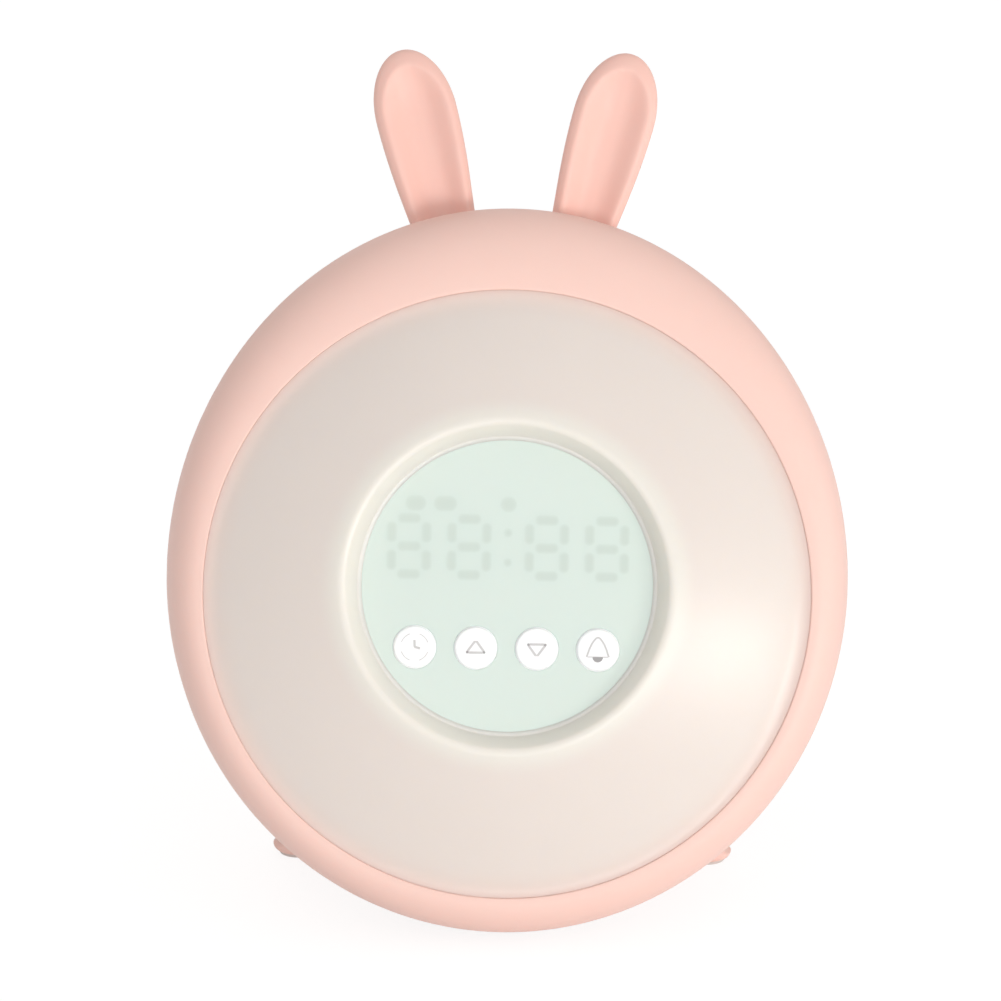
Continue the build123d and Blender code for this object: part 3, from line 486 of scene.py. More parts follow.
@dataclass(frozen=True)
class BoardFinish(Finish):
    """Circuit board: solder mask over copper tracks."""

    track_colour: str = "3E8A55"
    track_mm: float = 1.6

    def tint(self, tree: NodeTree, place: NodeSocket) -> NodeSocket:
        """Mask colour with paler blocks and lines where copper lies under it."""
        base = super().tint(tree, place)
        bricks = add_node(
            tree, "TexVoronoi", {"Scale": 0.25 / (self.track_mm * MM), "Randomness": 0.8},
            {"Vector": place}, feature="DISTANCE_TO_EDGE")
        lines = add_node(
            tree, "MapRange", {"From Min": 0.06, "From Max": 0.09, "To Min": 1.0, "To Max": 0.0},
            {"Value": bricks.outputs["Distance"]})
        mix = add_node(
            tree, "Mix", {"B": linear(self.track_colour)}, {"Factor": lines.outputs["Result"], "A": base},
            data_type="RGBA")
        return mix.outputs["Result"]


# ABS moulded in a lightly spark-eroded tool: satin, with a soft broad highlight. The real grain is
# 0.1 mm, too fine to show, so it is drawn three times as coarse.
PINK_ABS = Finish(
    "abs_pink_spark_moulded", "F6CFC4", Grain.SPARKED, 0.3, 0.004, 0.5, ior=1.56, subsurface=0.12,
    mottle=0.015)
# The ears get a copy of the shells' pink, a little deeper in colour: painted shade on the ears.
SHADED_EAR_ABS = replace(PINK_ABS, name="abs_pink_painted_shade_spark_moulded", colour="F5C7BB")
# Opal polycarbonate: milky, it scatters light inside and softens every shadow on it.
OPAL_PC = OpalFinish(
    "polycarbonate_opal_moulded", "EBDED6", Grain.POLISHED, 0.8, 0.002, 0.34, ior=1.58, subsurface=0.35,
    scatter_mm=(6.0, 5.0, 4.0), mottle=0.01)
# Mint acrylic window, satin on its face, with the display's dark segments behind it.
MINT_ACRYLIC = WindowFinish(
    "acrylic_mint_satin_window", "D8E5DE", Grain.SPARKED, 0.25, 0.002, 0.4, ior=1.49, subsurface=0.1,
    mottle=0.012)
# White ABS keys from a polished tool: slightly glossier than the window round them.
WHITE_ABS = Finish(
    "abs_white_polished_moulded", "FCFDFF", Grain.POLISHED, 0.5, 0.001, 0.3, subsurface=0.08,
    mottle=0.008)
# Pad-printed ink on the keys: flat and matt.
PALE_INK = Finish("ink_pale_grey_pad_printed", "D0CECF", Grain.PRESSED, 0.12, 0.001, 0.75, mottle=0.03)
DARK_INK = Finish("ink_dark_grey_pad_printed", "A6A4A5", Grain.PRESSED, 0.12, 0.001, 0.75, mottle=0.05)
# Silicone pads: matt and a little dusty.
SILICONE = Finish("silicone_grey_pressed", "D8CFCB", Grain.SPARKED, 0.4, 0.01, 0.8, ior=1.42, mottle=0.05)
# Nylon slide knob and plungers: dark, with a dull shine.
BLACK_NYLON = Finish(
    "nylon_black_moulded", "1B1B1D", Grain.SPARKED, 0.25, 0.004, 0.5, ior=1.53, mottle=0.1)
GREY_ABS = Finish("abs_grey_moulded", "707174", Grain.SPARKED, 0.3, 0.004, 0.5, mottle=0.04)
WHITE_PS = Finish("polystyrene_reflector_white", "F0F0EC", Grain.SPARKED, 0.3, 0.003, 0.6, mottle=0.02)
NATURAL_NYLON = Finish(
    "nylon_natural_plug", "E8E2D2", Grain.POLISHED, 0.6, 0.002, 0.45, subsurface=0.1, mottle=0.03)
MODULE_PC = Finish("polycarbonate_display_body", "DADCD8", Grain.POLISHED, 0.6, 0.002, 0.4, mottle=0.02)
SEGMENT_EPOXY = Finish("epoxy_segment_windows", "C9D6CC", Grain.POLISHED, 0.5, 0.001, 0.3, mottle=0.03)
LAMP_EPOXY = Finish("epoxy_lamp_package", "EFE6BE", Grain.POLISHED, 0.4, 0.001, 0.3, mottle=0.04)
# Screws and washers: zinc plate, bright but soft, with fine lines from rolling.
ZINC_STEEL = Finish(
    "steel_zinc_plated", "B9BABD", Grain.PLATED, 0.15, 0.002, 0.34, metallic=1.0, mottle=0.06)
TIN_STEEL = Finish(
    "steel_tinned_pressed", "C6C7C9", Grain.BRUSHED, 0.12, 0.002, 0.3, metallic=1.0, mottle=0.05)
FERRITE = Finish("ferrite_sintered", "2A2A2C", Grain.PRESSED, 0.3, 0.01, 0.7, mottle=0.12)
CONE_PAPER = Finish(
    "paper_cone_pressed", "262524", Grain.PRESSED, 0.35, 0.03, 0.85, mottle=0.15, mottle_mm=4.0)
SHRINK_FILM = Finish("pvc_shrink_film_blue", "4A7CA8", Grain.POLISHED, 1.5, 0.01, 0.25, mottle=0.04)
SOFT_PVC = Finish("pvc_wire_sleeve_black", "1E1E20", Grain.SPARKED, 0.3, 0.005, 0.45, mottle=0.08)
# Circuit boards: epoxy glass under a solder mask, glossy, with copper tracks that show through it.
GREEN_BOARD = BoardFinish(
    "epoxy_glass_green_mask", "1E6A3C", Grain.POLISHED, 0.4, 0.003, 0.3, mottle=0.05)
WHITE_BOARD = BoardFinish(
    "epoxy_glass_white_mask", "EDEEEA", Grain.POLISHED, 0.4, 0.003, 0.35, mottle=0.02,
    track_colour="DADDD6")


def paint(piece: Object, finish: Finish) -> None:
    """Give a piece its only material."""
    piece.data.materials.clear()
    piece.data.materials.append(finish.build())
    log.info("%s: %s", piece.name, finish.name)


def dress(piece: Object, finish: Finish, body: str, slot: str, *nodes: str) -> None:
    """Give a new piece its finish and its body, and hide the CAD nodes that it stands for."""
    paint(piece, finish)
    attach(piece, body)
    if nodes:
        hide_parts(*nodes)


# ---- body ----
@dataclass
class FrontBezel:
    """Front shell: a soft oval roll from the seam to the round rim of the diffuser."""

    body: Body = BODY
    parting: float = 0.35
    lip_round: float = 0.5
    lip_drop: float = 0.3
    rows: int = 26

    def rings(self) -> list[Ring]:
        """Rings once round the shell's wall, from the seam over the rim and back inside."""
        b = self.body
        rings = [Ring(b.half_width - self.parting, b.half_height - self.parting, b.rise, 0.0, b.sag)]
        first = asin(self.parting / b.bezel_depth)
        for row in range(self.rows + 1):
            angle = first + (pi / 2 - first) * row / self.rows
            rings.append(b.front_ring(angle, 0.0))
        middle = b.rim_radius + self.lip_round
        for step in range(9):
            angle = pi / 2 * (1 + step / 8)
            radius = middle + self.lip_round * cos(angle)
            out = b.bezel_depth - self.lip_drop + self.lip_drop * sin(angle)
            rings.append(round_ring(radius, out))
        rings.append(round_ring(b.rim_radius, b.bezel_depth - b.wall))
        for row in range(self.rows, -1, -2):
            rings.append(b.front_ring(pi / 2 * row / self.rows, b.wall))
        return rings

    def build(self) -> None:
        """Make the shell and seat it on its flat base."""
        skin = Skin()
        skin.band([r.points() for r in self.rings()], closed=True)
        piece = skin.piece("bezel_shell", self.body.matrix)
        for vert in piece.data.vertices:
            vert.co.z = max(vert.co.z, self.body.base_level * MM)
        dress(piece, PINK_ABS, "clock", "pink_shell", "front_bezel")


# ---- diffuser ----
@dataclass
class Diffuser:
    """Opal dome with a raised crest round a conical well."""

    body: Body = BODY
    neck_radius: float = 70.28
    dome_start: float = 12.28
    edge_lift: float = 1.4
    lift_width: float = 3.8
    edge_round: float = 0.15
    # Crest: how far its rounding reaches outwards, then its corner and its inner end, each as the
    # distances from the crest's radius and height.
    crest_reach: float = 1.2
    crest_corner: Pair = (-0.5, 0.1)
    crest_end: Pair = (-1.1, -0.8)
    # Foot of the well: distances from the window's radius and face.
    slope_end: Pair = (0.95, 1.15)
    foot_corner: Pair = (0.75, 0.4)
    bead_outer: Pair = (0.4, 0.42)
    bead_inner: Pair = (0.1, 0.42)
    lip_height: float = 0.05
    window_gap: float = 0.02
    well_depth: float = 1.5
    well_wall: float = 1.8
    dome_radius: float = 140.0
    wall: float = 2.0
    crest_radius: float = 37.9
    panel_radius: float = 33.8
    lip_radius: float = 33.4
    flange_radius: float = 71.7
    flange_back: float = 10.0
    flange_front: float = 11.7
    rows: int = 34

    def height(self, radius: float, inset: float = 0.0) -> float:
        """Height of the dome at a distance from its axis; its edge turns up towards the rim."""
        base = self.dome_start - sqrt(self.dome_radius ** 2 - self.neck_radius ** 2)
        lift = self.edge_lift * max(1 - (self.neck_radius - radius) / self.lift_width, 0.0) ** 2
        return base + sqrt((self.dome_radius - inset) ** 2 - radius ** 2) + lift

    def dome_ring(self, radius: float, inset: float = 0.0) -> Ring:
        """Ring of the dome, whose middle drifts from the diffuser's axis to the well's."""
        share = (self.neck_radius - radius) / (self.neck_radius - self.crest_radius)
        return round_ring(radius, self.height(radius, inset), WELL_RISE * min(max(share, 0.0), 1.0))

    def rings(self) -> list[Ring]:
        """Rings once round the wall: flange, neck, dome, crest, well and back along the inside."""
        neck = self.neck_radius
        rings = [round_ring(self.flange_radius, self.flange_back),
                 round_ring(self.flange_radius, self.flange_front), round_ring(neck, self.flange_front)]
        edge = self.height(neck)
        start, end = neck - self.edge_round, self.crest_radius + self.crest_reach
        rings += blend_rings(round_ring(neck, edge - self.edge_round), round_ring(neck, edge),
                             self.dome_ring(start), 4)
        for row in range(1, self.rows + 1):
            rings.append(self.dome_ring(start + (end - start) * row / self.rows))
        crest = self.crest_radius, self.height(self.crest_radius)
        foot = self.panel_radius, PANEL_FRONT

        def near(home: Pair, *offsets: Pair) -> list[Ring]:
            """Rings about the well's axis, at distances from a radius and a height."""
            return [round_ring(home[0] + x, home[1] + h, WELL_RISE) for x, h in offsets]

        gap, back, lip = self.window_gap, -self.well_depth, self.lip_radius - self.panel_radius
        rings += blend_rings(self.dome_ring(end), *near(crest, self.crest_corner, self.crest_end), 8)[1:]
        rings += blend_rings(*near(foot, self.slope_end, self.foot_corner, self.bead_outer), 5)
        rings += blend_rings(*near(foot, self.bead_outer, self.bead_inner, (lip, self.lip_height)), 5)[1:]
        rings += near(foot, (lip, gap), (0, gap), (0, back), (self.well_wall, back))
        rings += near(crest, (0.8, 0.1 - self.wall))
        start, inner, rows = self.crest_radius + 1.5, neck - self.wall, self.rows // 2
        for row in range(rows + 1):
            rings.append(self.dome_ring(start + (inner - start) * row / rows, self.wall))
        rings.append(round_ring(inner, self.flange_back))
        return rings

    def build(self) -> None:
        """Make the dome."""
        skin = Skin()
        skin.band([r.points(256) for r in self.rings()], closed=True)
        piece = skin.piece("diffuser_dome", self.body.matrix, 50.0)
        dress(piece, OPAL_PC, "clock", "milk_diffuser", "diffuser")


# ---- display ----
@dataclass
class Display:
    """Mint window in the well, with the display's segments showing faintly through it."""

    body: Body = BODY
    radius: float = 33.78
    thickness: float = 3.0
    flange_radius: float = 36.0
    flange_thickness: float = 1.4
    hole_radius: float = 5.0
    edge_round: float = 0.2
    digit_rise: float = 8.8
    digit_columns: tuple[float, ...] = (-22.7, -8.9, 8.9, 22.7)
    digit_width: float = 9.6
    digit_height: float = 14.4
    bar: float = 1.6
    level_bar: float = 4.6
    upright_bar: float = 4.0
    colon_gap: float = 3.4
    colon_size: float = 1.2
    mark_rise: float = 18.7
    marks: tuple[Pair, ...] = ((-21.3, 4.1), (-14.5, 4.6), (0.0, 3.0))
    mark_height: float = 2.8
    blur: float = 0.6
    core: float = 0.5
    edge_shade: float = 0.75
    print_lift: float = 0.02

    def plate(self, name: str, radius: float, back: float, front: float) -> Object:
        """Round plate with the four key holes and softly broken edges."""
        curve = bpy.data.curves.new(name, "CURVE")
        curve.dimensions = "2D"
        curve.fill_mode = "BOTH"
        curve.extrude = (front - back) / 2 - self.edge_round
        curve.bevel_depth = self.edge_round
        curve.bevel_resolution = 2
        curve.offset = -self.edge_round
        rounds = [((0.0, 0.0), radius, 192)]
        rounds += [((column, -KEY_DROP), self.hole_radius, 64) for column in KEY_COLUMNS]
        for (x, y), size, count in rounds:
            spline = curve.splines.new("POLY")
            spline.points.add(count - 1)
            spline.use_cyclic_u = True
            for point, a in zip(spline.points, whole_turn(count)):
                point.co = (x + size * cos(a), y + size * sin(a), 0, 1)
        shape = bpy.data.objects.new(name, curve)
        mesh = bpy.data.meshes.new_from_object(shape)
        bpy.data.objects.remove(shape)
        mesh.transform(self.body.matrix @ Matrix.Translation((0, WELL_RISE, (front + back) / 2)))
        return new_object(name, mesh)

    def bars(self) -> list[tuple[float, float, float, float]]:
        """Middle and size of every segment that shows through the window."""
        found = []
        reach = (self.digit_width - self.bar) / 2
        climb = (self.digit_height - self.bar) / 2
        rise = self.digit_rise
        for column in self.digit_columns:
            found += [(column, rise + level * climb, self.level_bar, self.bar) for level in (-1, 0, 1)]
            found += [(column + side * reach, rise + level * climb, self.bar, self.upright_bar)
                      for side in (-1, 1) for level in (-0.5, 0.5)]
        found += [(0.0, rise + level * self.colon_gap, self.colon_size, self.colon_size)
                  for level in (-1, 1)]
        return found + [(x, self.mark_rise, width, self.mark_height) for x, width in self.marks]

    def segments(self) -> Object:
        """Soft-edged shades of the segments, level with the window's face."""
        skin = Skin()
        shades = []
        count = 32
        for x, y, width, height in self.bars():
            small = min(width, height) / 2
            loops = []
            for spread in (-self.core * small, 0.0, self.blur):
                loop = []
                for a in whole_turn(count, 0.5):
                    round_off = small + spread
                    px = copysign(width / 2 - small, cos(a)) + round_off * cos(a)
                    py = copysign(height / 2 - small, sin(a)) + round_off * sin(a)
                    loop.append(Vector((x + px, y + py + WELL_RISE, PANEL_FRONT + self.print_lift)))
                loops.append(loop)
            start = len(skin.verts)
            skin.band(loops)
            skin.faces.append([start + i for i in range(count)])
            shades += [1.0] * count + [self.edge_shade] * count + [0.0] * count
        mesh = bpy.data.meshes.new("segment_shades")
        mesh.from_pydata([self.body.matrix @ v for v in skin.verts], [], skin.faces)
        layer = mesh.attributes.new(SHADE, "FLOAT", "POINT")
        layer.data.foreach_set("value", shades)
        piece = new_object("segment_shades", mesh)
        smooth(piece, 30.0)
        return piece

    def build(self) -> None:
        """Make the window and the shades on it."""
        front = self.plate("display_window", self.radius, PANEL_FRONT - self.thickness, PANEL_FRONT)
        flange = self.plate("display_flange", self.flange_radius, PANEL_FRONT - self.thickness,
                            PANEL_FRONT - self.thickness + self.flange_thickness)
        for piece in (front, flange):
            smooth(piece, 30.0)
        dress(front, MINT_ACRYLIC, "clock", "mint_panel", "display_panel")
        dress(flange, MINT_ACRYLIC, "clock", "mint_panel")
        dress(self.segments(), MINT_ACRYLIC, "clock", "mint_panel")


# ---- keys ----
class Sign(Enum):
    """What is printed on a key."""

    CLOCK = "clock"
    UP = "up"
    DOWN = "down"
    ALARM = "alarm"


@dataclass
class Key:
    """White key with a softly rounded edge and a thin printed sign."""

    sign: Sign
    column: float
    body: Body = BODY
    radius: float = 4.8
    proud: float = 0.6
    edge_round: float = 0.45
    skirt_radius: float = 4.99
    skirt_drop: float = 0.15
    flange_radius: float = 5.7
    flange_front: float = 16.98
    flange_back: float = 16.18
    stem_radius: float = 1.6
    stem_back: float = 14.18
    line: float = 0.52
    thin_line: float = 0.16
    print_height: float = 0.03
    dial_radius: float = 3.2
    dial_gap: float = radians(20.0)
    hands: tuple[Pair, ...] = ((-0.05, 1.6), (0.0, 0.2), (0.1, 0.0), (1.25, -0.3))
    bell_side: tuple[Pair, ...] = ((2.55, -1.6), (2.3, -0.9), (1.95, 0.2), (1.45, 1.3),
                                                  (0.95, 2.1), (0.45, 2.7))
    bell_top: float = 2.9
    bell_floor: Pair = (2.3, -1.6)
    clapper: float = 1.2
    arrow: tuple[float, float, float] = (1.8, 2.1, 1.05)
    corner_cut: float = 0.12
    corner_dot: float = 0.3

    @property
    def matrix(self) -> Matrix:
        """Frame of the key: on its axis, with heights as in the face's frame."""
        return self.body.matrix @ Matrix.Translation((self.column, WELL_RISE - KEY_DROP, 0))

    @property
    def top(self) -> float:
        """Height of the key's face."""
        return PANEL_FRONT + self.proud

    def cap(self) -> Object:
        """Turned shape of the key: stem, flange and cap."""
        skirt = PANEL_FRONT - self.skirt_drop
        profile = [(0.001, self.stem_back), (self.stem_radius, self.stem_back),
                   (self.stem_radius, self.flange_back), (self.flange_radius, self.flange_back),
                   (self.flange_radius, self.flange_front), (self.skirt_radius, self.flange_front),
                   (self.skirt_radius, skirt), (self.radius, skirt)]
        for step in range(7):
            a = pi / 2 * step / 6
            profile.append((self.radius - self.edge_round * (1 - cos(a)),
                            self.top - self.edge_round * (1 - sin(a))))
        profile += [(self.radius - 2 * self.edge_round, self.top), (0.001, self.top)]
        skin = Skin()
        skin.band([round_ring(r, h).points(72) for r, h in profile], caps=True)
        return skin.piece(f"key_cap_{self.sign.value}", self.matrix, 40.0)

    def ribbon(self, skin: Skin, points: list[Pair], closed: bool, line: float) -> None:
        """Add a printed line along a path to a skin."""
        low, high = self.top - self.print_height, self.top + self.print_height
        last = len(points) - 1
        loops = []
        for i, (x, y) in enumerate(points):
            before = points[i - 1] if closed or i else points[i]
            after = points[(i + 1) % (last + 1)] if closed or i < last else points[i]
            along = Vector((after[0] - before[0], after[1] - before[1]))
            normal = Vector((-along.y, along.x)).normalized() * (line / 2)
            left, right = (x + normal.x, y + normal.y), (x - normal.x, y - normal.y)
            corners = (left, low), (left, high), (right, high), (right, low)
            loops.append([Vector((*side, level)) for side, level in corners])
        skin.band(loops, closed=closed, caps=not closed)

    def disc(self, skin: Skin, x: float, y: float, radius: float, half: bool = False) -> None:
        """Add a printed dot, or the lower half of one, to a skin."""
        turns = range(13) if half else range(24)
        step = pi / 12
        start = pi if half else 0.0
        outline = [(x + radius * cos(start + i * step), y + radius * sin(start + i * step))
                   for i in turns]
        levels = (self.top - self.print_height, self.top + self.print_height + 0.01)
        skin.band([[Vector((px, py, h)) for px, py in outline] for h in levels], caps=True)

    def printing(self) -> tuple[Skin, Skin]:
        """Pale and dark parts of the sign."""
        pale, dark = Skin(), Skin()
        if self.sign is Sign.CLOCK:
            span = pi / 2 - 2 * self.dial_gap
            for quarter in range(4):
                turns = [pi / 2 * quarter + self.dial_gap + span * i / 12 for i in range(13)]
                arc = [(self.dial_radius * cos(a), self.dial_radius * sin(a)) for a in turns]
                self.ribbon(pale, arc, False, self.thin_line)
            self.ribbon(pale, list(self.hands), False, self.line)
        elif self.sign is Sign.ALARM:
            side = list(self.bell_side)
            x, y = self.bell_floor
            outline = [(-px, py) for px, py in side] + [(0.0, self.bell_top)] + side[::-1]
            self.ribbon(pale, outline, False, self.line * 0.75)
            self.ribbon(pale, [(-x, y), (x, y)], False, self.line * 0.4)
            self.disc(dark, 0.0, y, self.clapper, half=True)
        else:
            way = 1 if self.sign is Sign.UP else -1
            tip, reach, base = self.arrow
            corners = [(0.0, tip * way), (-reach, -base * way), (reach, -base * way)]
            sides = [(Vector(corners[i - 1]), Vector(corners[i])) for i in range(3)]
            outline = [tuple(a.lerp(b, s)) for a, b in sides
                       for s in (self.corner_cut, 1 - self.corner_cut)]
            self.ribbon(pale, outline, True, self.line)
            for x, y in corners[1:]:
                self.disc(dark, x * 0.92, y * 0.92, self.corner_dot)
        return pale, dark

    def build(self) -> None:
        """Make the key and its printed sign."""
        name = self.sign.value
        rider = f"{name}_key"
        dress(self.cap(), WHITE_ABS, rider, "white_key", f"button_{name}")
        for skin, ink, label in zip(self.printing(), (PALE_INK, DARK_INK), ("print", "print_dark")):
            if skin.verts:
                dress(skin.piece(f"key_{label}_{name}", self.matrix, 30.0), ink, rider, "white_key")


# ---- ears and feet ----
@dataclass
class Ear:
    """Spoon-shaped ear with a thick rounded rim and a long hollow in front."""

    side: int
    body: Body = BODY
    splay: float = radians(15.1)
    root_offset: float = 16.6
    setback: float = 8.0
    length: float = 41.56
    widest: float = 26.0
    half_root: float = 7.7
    half_width: float = 9.7
    half_thickness: float = 4.6
    hollow_depth: float = 4.6
    hollow_share: float = 0.86
    hollow_end: float = 4.0
    hollow_aside: float = 0.03
    around: int = 144
    rows: int = 40
    peg_radius: float = 3.5
    peg_length: float = 4.4

    @property
    def matrix(self) -> Matrix:
        """Frame of the ear in the face's frame: x across the ear, y to its front, z along it."""
        x, rise, out = self.body.skin_point(self.side * self.root_offset, self.setback, 1)
        c, s = cos(self.splay), self.side * sin(self.splay)
        return Matrix(((c, 0, s, x), (-s, 0, c, rise), (0, 1, 0, out), (0, 0, 0, 1)))

    def halves(self, reach: float) -> Pair:
        """Half width and half thickness at a distance along the ear."""
        if reach < self.widest:
            share = sin(pi / 2 * max(reach, 0.0) / self.widest)
            return self.half_root + (self.half_width - self.half_root) * share, self.half_thickness
        share = sqrt(max(1 - ((reach - self.widest) / (self.length - self.widest)) ** 2, 0.0))
        return self.half_width * share, self.half_thickness * share

    def section(self, reach: float) -> list[Vector]:
        """Outline across the ear: a full back, rounded rims and the hollow between them."""
        width, thick = self.halves(reach)
        past = max(reach - self.widest, 0.0) / (self.length - self.hollow_end - self.widest)
        open_share = sqrt(max(1 - past ** 2, 0.0))
        hollow = self.hollow_share * open_share * (self.half_width if past else width)
        depth = self.hollow_depth * open_share ** 2
        points = []
        for a in whole_turn(self.around):
            x, v = width * cos(a), sin(a)
            y = thick * copysign(abs(v) ** 0.85, v)
            if v > 0 and hollow > 0.01:
                aside = abs(x - self.hollow_aside * width) / hollow
                y -= depth * max(1 - aside ** 2.6, 0.0) ** 2
            points.append(Vector((x, y, reach)))
        return points

    def build(self) -> None:
        """Make the ear, cut to the shell, with its peg."""
        name = SIDES[self.side]
        place = self.matrix
        along = axis(place)
        root = [self.body.reach_skin(place @ p, along, -9.0, 9.0, 0.1) for p in self.section(0.0)]
        loops = [root]
        start = 5.0
        for row in range(self.rows):
            t = row / (self.rows - 1)
            reach = start + (self.length - start) * sin(pi / 2 * t) ** 0.9 * 0.9995
            loops.append([place @ p for p in self.section(reach)])
        skin = Skin()
        skin.band(loops, caps=True)
        peg = [[place @ p for p in round_ring(self.peg_radius, h).points(48)]
               for h in (-self.peg_length, -self.peg_length + 0.3, 0.5)]
        skin.band(peg, caps=True)
        piece = skin.piece(f"ear_shell_{name}", self.body.matrix, 50.0)
        # The ears' deeper pink is painted shade.
        dress(piece, SHADED_EAR_ABS, "clock", "pink_shell", f"ear_{name}")


@dataclass
class Foot:
    """Short tapered foot, splayed outwards and cut level underneath."""

    side: int
    body: Body = BODY
    spread: float = 50.5
    trail: float = 4.2
    tip_radius: float = 6.0
    root_radius: float = 8.6
    root_offset: float = 40.0
    setback: float = 39.0
    edge_round: float = 1.6
    pad_level: float = 0.8
    pad_recess: float = 1.0
    pad_inset: float = 1.6
    around: int = 72
    rows: int = 16

    def build(self) -> None:
        """Make the foot, level below and cut to the shell above."""
        name = SIDES[self.side]
        frame_in = self.body.matrix.inverted()
        root = self.body.matrix @ self.body.skin_point(self.side * self.root_offset, self.setback, -1)
        base = Vector((self.side * self.spread * MM, root.y + self.trail * MM, self.pad_level * MM))
        slope = root - base
        direction = (frame_in.to_3x3() @ slope).normalized()

        def loop(radius: float, share: float, lift: float = 0.0) -> list[Vector]:
            """Level round of the foot at a share of its slope."""
            middle = base + slope * share + Vector((0, 0, lift * MM))
            return [frame_in @ (middle + Vector((cos(a), sin(a), 0)) * radius * MM)
                    for a in whole_turn(self.around)]

        recess = self.tip_radius - self.pad_inset
        loops = [loop(recess, 0.0, self.pad_recess), loop(recess, 0.0)]
        for step in range(7):
            a = pi / 2 * step / 6
            radius = self.tip_radius - self.edge_round * (1 - sin(a))
            loops.append(loop(radius, 0.0, self.edge_round * (1 - cos(a))))
        low = self.edge_round * MM / slope.z
        for row in range(1, self.rows):
            share = low + (0.72 - low) * row / (self.rows - 1)
            radius = self.tip_radius + (self.root_radius - self.tip_radius) * (share * 0.8) ** 1.15
            loops.append(loop(radius, share))
        loops.append([self.body.reach_skin(p, direction, 40.0, 0.0, -0.1) for p in loops[-1]])
        skin = Skin()
        skin.band(loops, caps=True)
        piece = skin.piece(f"foot_leg_{name}", self.body.matrix, 50.0)
        dress(piece, PINK_ABS, "clock", "pink_shell", f"foot_{name}")


# ---- CAD nodes that stay ----
CAD_FINISHES: tuple[tuple[Finish, str], ...] = (
    (PINK_ABS, "rear_housing"),
    (SILICONE, "foot_pads base_pad"),
    (BLACK_NYLON, "switch_knob plunger_clock plunger_up plunger_down plunger_alarm"),
    (GREY_ABS, "switch_body speaker_clamp"),
    (TIN_STEEL, "charging_port speaker_frame battery_contacts tact_switches"),
    (CONE_PAPER, "speaker_cone"),
    (FERRITE, "speaker_magnet"),
    (GREEN_BOARD, "power_board main_board"),
    (WHITE_BOARD, "light_board"),
    (LAMP_EPOXY, "night_lights"),
    (WHITE_PS, "reflector_tray battery_cradle"),
    (SHRINK_FILM, "battery_cell"),
    (MODULE_PC, "display_module"),
    (SEGMENT_EPOXY, "display_segments"),
    (ZINC_STEEL, "tray_screws case_screws board_screws speaker_screws "
                 "power_board_screws peg_screws peg_washers"),
    (NATURAL_NYLON, "lead_plugs"),
    (SOFT_PVC, "main_lead speaker_lead battery_lead"),
)


def dress_cad_nodes() -> None:
    """Give every CAD node that stays in view its finish."""
    for finish, names in CAD_FINISHES:
        for name in names.split():
            paint(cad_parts[name], finish)


# ---- studio ----
@dataclass(frozen=True)
class Lamp:
    """Soft area lamp that faces the clock."""

    name: str
    azimuth: float
    elevation: float
    distance: float
    width: float
    height: float
    watts: float
    colour: str = "FFFFFF"

    def build(self, target: Vector) -> None:
        """Place the lamp on a sphere round the target and turn it there."""
        a, e = radians(self.azimuth), radians(self.elevation)
        way = Vector((sin(a) * cos(e), -cos(a) * cos(e), sin(e)))
        data = bpy.data.lights.new(self.name, "AREA")
        data.shape = "RECTANGLE"
        data.size, data.size_y = self.width, self.height
        data.energy = self.watts
        data.color = linear(self.colour)[:3]
        lamp = new_object(self.name, data)
        lamp.location = target + way * self.distance
        lamp.rotation_mode = "QUATERNION"
        lamp.rotation_quaternion = (-way).to_track_quat("-Z", "Y")


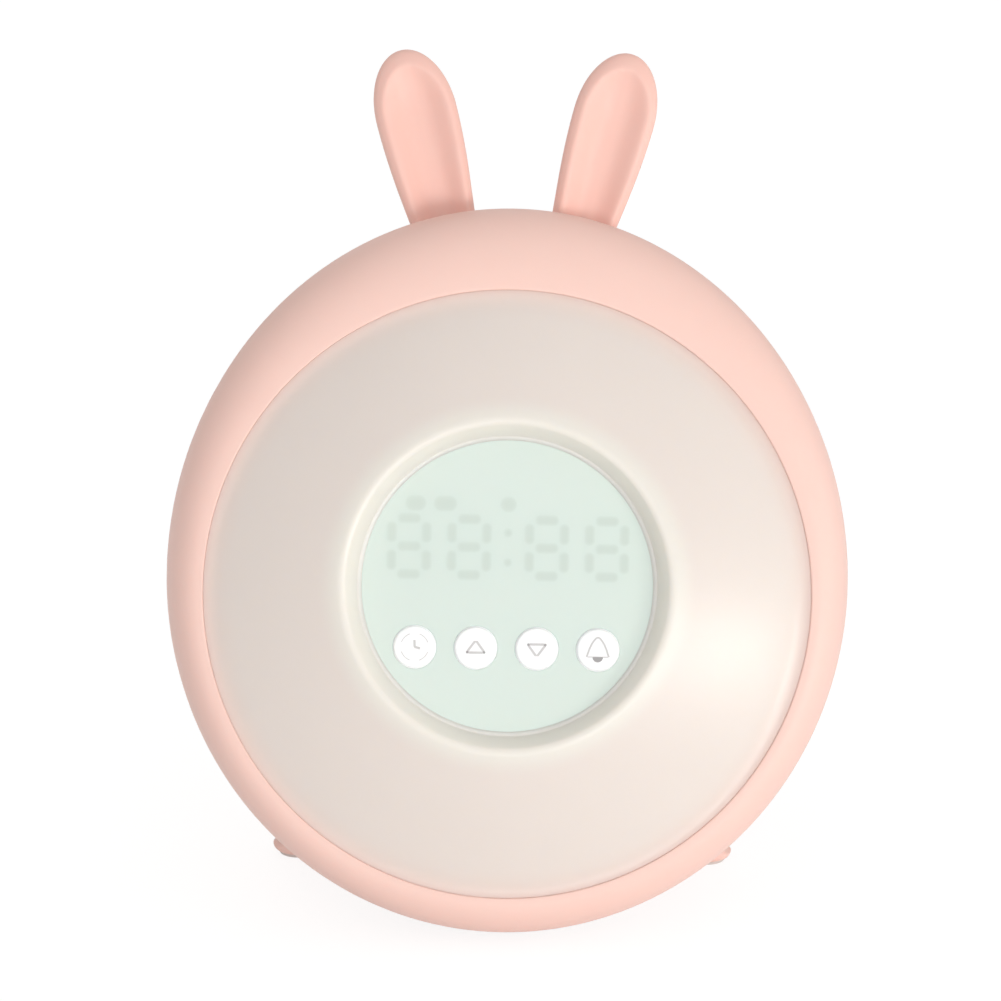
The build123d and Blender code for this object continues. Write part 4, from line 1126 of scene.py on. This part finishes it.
@dataclass
class Studio:
    """Pale floor, even room light, soft lamps and the camera."""

    body: Body = BODY
    lamps: tuple[Lamp, ...] = (
        Lamp("softbox_right", 48.0, 0.5, 1.3, 0.28, 0.18, 2.6, "FFFBF2"),
        Lamp("strip_right", 88.0, 8.0, 1.3, 0.8, 0.4, 1.75),
        Lamp("softbox_front", -4.0, 32.0, 1.6, 1.2, 1.0, 2.05),
        Lamp("softbox_top", 5.0, 70.0, 1.4, 1.0, 0.8, 1.15),
        Lamp("fill_left", -75.0, 20.0, 1.6, 0.9, 0.9, 0.4),
        Lamp("fill_low", 20.0, 2.0, 1.5, 1.2, 0.24, 6.8),
        Lamp("softbox_rear", 185.0, 28.0, 1.6, 1.2, 0.9, 1.7),
    )
    room_light: float = 0.56
    room_colour: str = "FFFDFB"
    floor_side: float = 8.0
    floor_colour: str = "F4F4F4"
    floor_glow: float = 0.74
    glow_strength: float = 1.15
    distance: float = 900.0
    lens: float = 138.0
    sensor: float = 36.0
    aim_across: float = -1.9
    aim_rise: float = 21.6
    roll: float = radians(1.0)
    clip: Pair = (0.05, 20.0)
    lamp_rise: float = 10.0

    def floor(self) -> None:
        """Wide pale floor: white to the camera, but with the clock's soft shadow."""
        half = self.floor_side / 2
        corners = ((-half, -half), (half, -half), (half, half), (-half, half))
        skin = Skin([Vector((x, y, 0)) for x, y in corners], [[0, 1, 2, 3]])
        floor = skin.piece("floor", Matrix.Identity(4))
        made = bpy.data.materials.new("paper_white_sweep")
        tree = empty_tree(made)
        paper = add_node(tree, "BsdfDiffuse", {"Color": linear(self.floor_colour)})
        glow = add_node(tree, "Emission", {"Strength": self.glow_strength})
        path = add_node(tree, "LightPath")
        seen = path.outputs["Is Camera Ray"]
        for ray in ("Is Glossy Ray", "Is Transmission Ray"):
            widest = add_node(tree, "Math", links={0: seen, 1: path.outputs[ray]}, operation="MAXIMUM")
            seen = widest.outputs["Value"]
        share = add_node(tree, "Math", {1: self.floor_glow}, {0: seen}, operation="MULTIPLY")
        mix = add_node(
            tree, "MixShader",
            links={0: share.outputs["Value"], 1: paper.outputs["BSDF"], 2: glow.outputs["Emission"]})
        add_node(tree, "OutputMaterial", links={"Surface": mix.outputs["Shader"]})
        floor.data.materials.append(made)

    def room(self) -> None:
        """Even white room light, plain white where the camera sees it."""
        world = bpy.data.worlds.new("room")
        bpy.context.scene.world = world
        tree = empty_tree(world)
        path = add_node(tree, "LightPath")
        light = add_node(
            tree, "Background", {"Strength": self.room_light, "Color": linear(self.room_colour)})
        white = add_node(tree, "Background", {"Strength": 1.0, "Color": (1, 1, 1, 1)})
        mix = add_node(
            tree, "MixShader", links={0: path.outputs["Is Camera Ray"], 1: light.outputs["Background"],
            2: white.outputs["Background"]})
        add_node(tree, "OutputWorld", links={"Surface": mix.outputs["Shader"]})

    def camera(self) -> None:
        """Camera square onto the face, a little rolled."""
        place = self.body.matrix
        aim = place @ Vector((self.aim_across, self.aim_rise, 0))
        out = axis(place)
        data = bpy.data.cameras.new("camera")
        data.lens = self.lens
        data.sensor_width = self.sensor
        data.clip_start, data.clip_end = self.clip
        camera = new_object("camera", data)
        turn = (-out).to_track_quat("-Z", "Y").to_matrix().to_4x4() @ Matrix.Rotation(self.roll, 4, "Z")
        camera.matrix_world = Matrix.Translation(aim + out * self.distance * MM) @ turn
        bpy.context.scene.camera = camera

    def build(self) -> None:
        """Set up everything round the clock."""
        self.floor()
        self.room()
        target = self.body.matrix @ Vector((0, self.lamp_rise, 0))
        for lamp in self.lamps:
            lamp.build(target)
        self.camera()
        bpy.context.scene.view_settings.view_transform = "Standard"


def main() -> None:
    """Build the clock and its studio."""
    logging.basicConfig(level=logging.INFO, format="%(message)s")
    Studio().build()
    dress_cad_nodes()
    FrontBezel().build()
    Diffuser().build()
    Display().build()
    for sign, column in zip(Sign, KEY_COLUMNS):
        Key(sign, column).build()
    for side in SIDES:
        Ear(side).build()
        Foot(side).build()


if __name__ == "__main__":
    main()
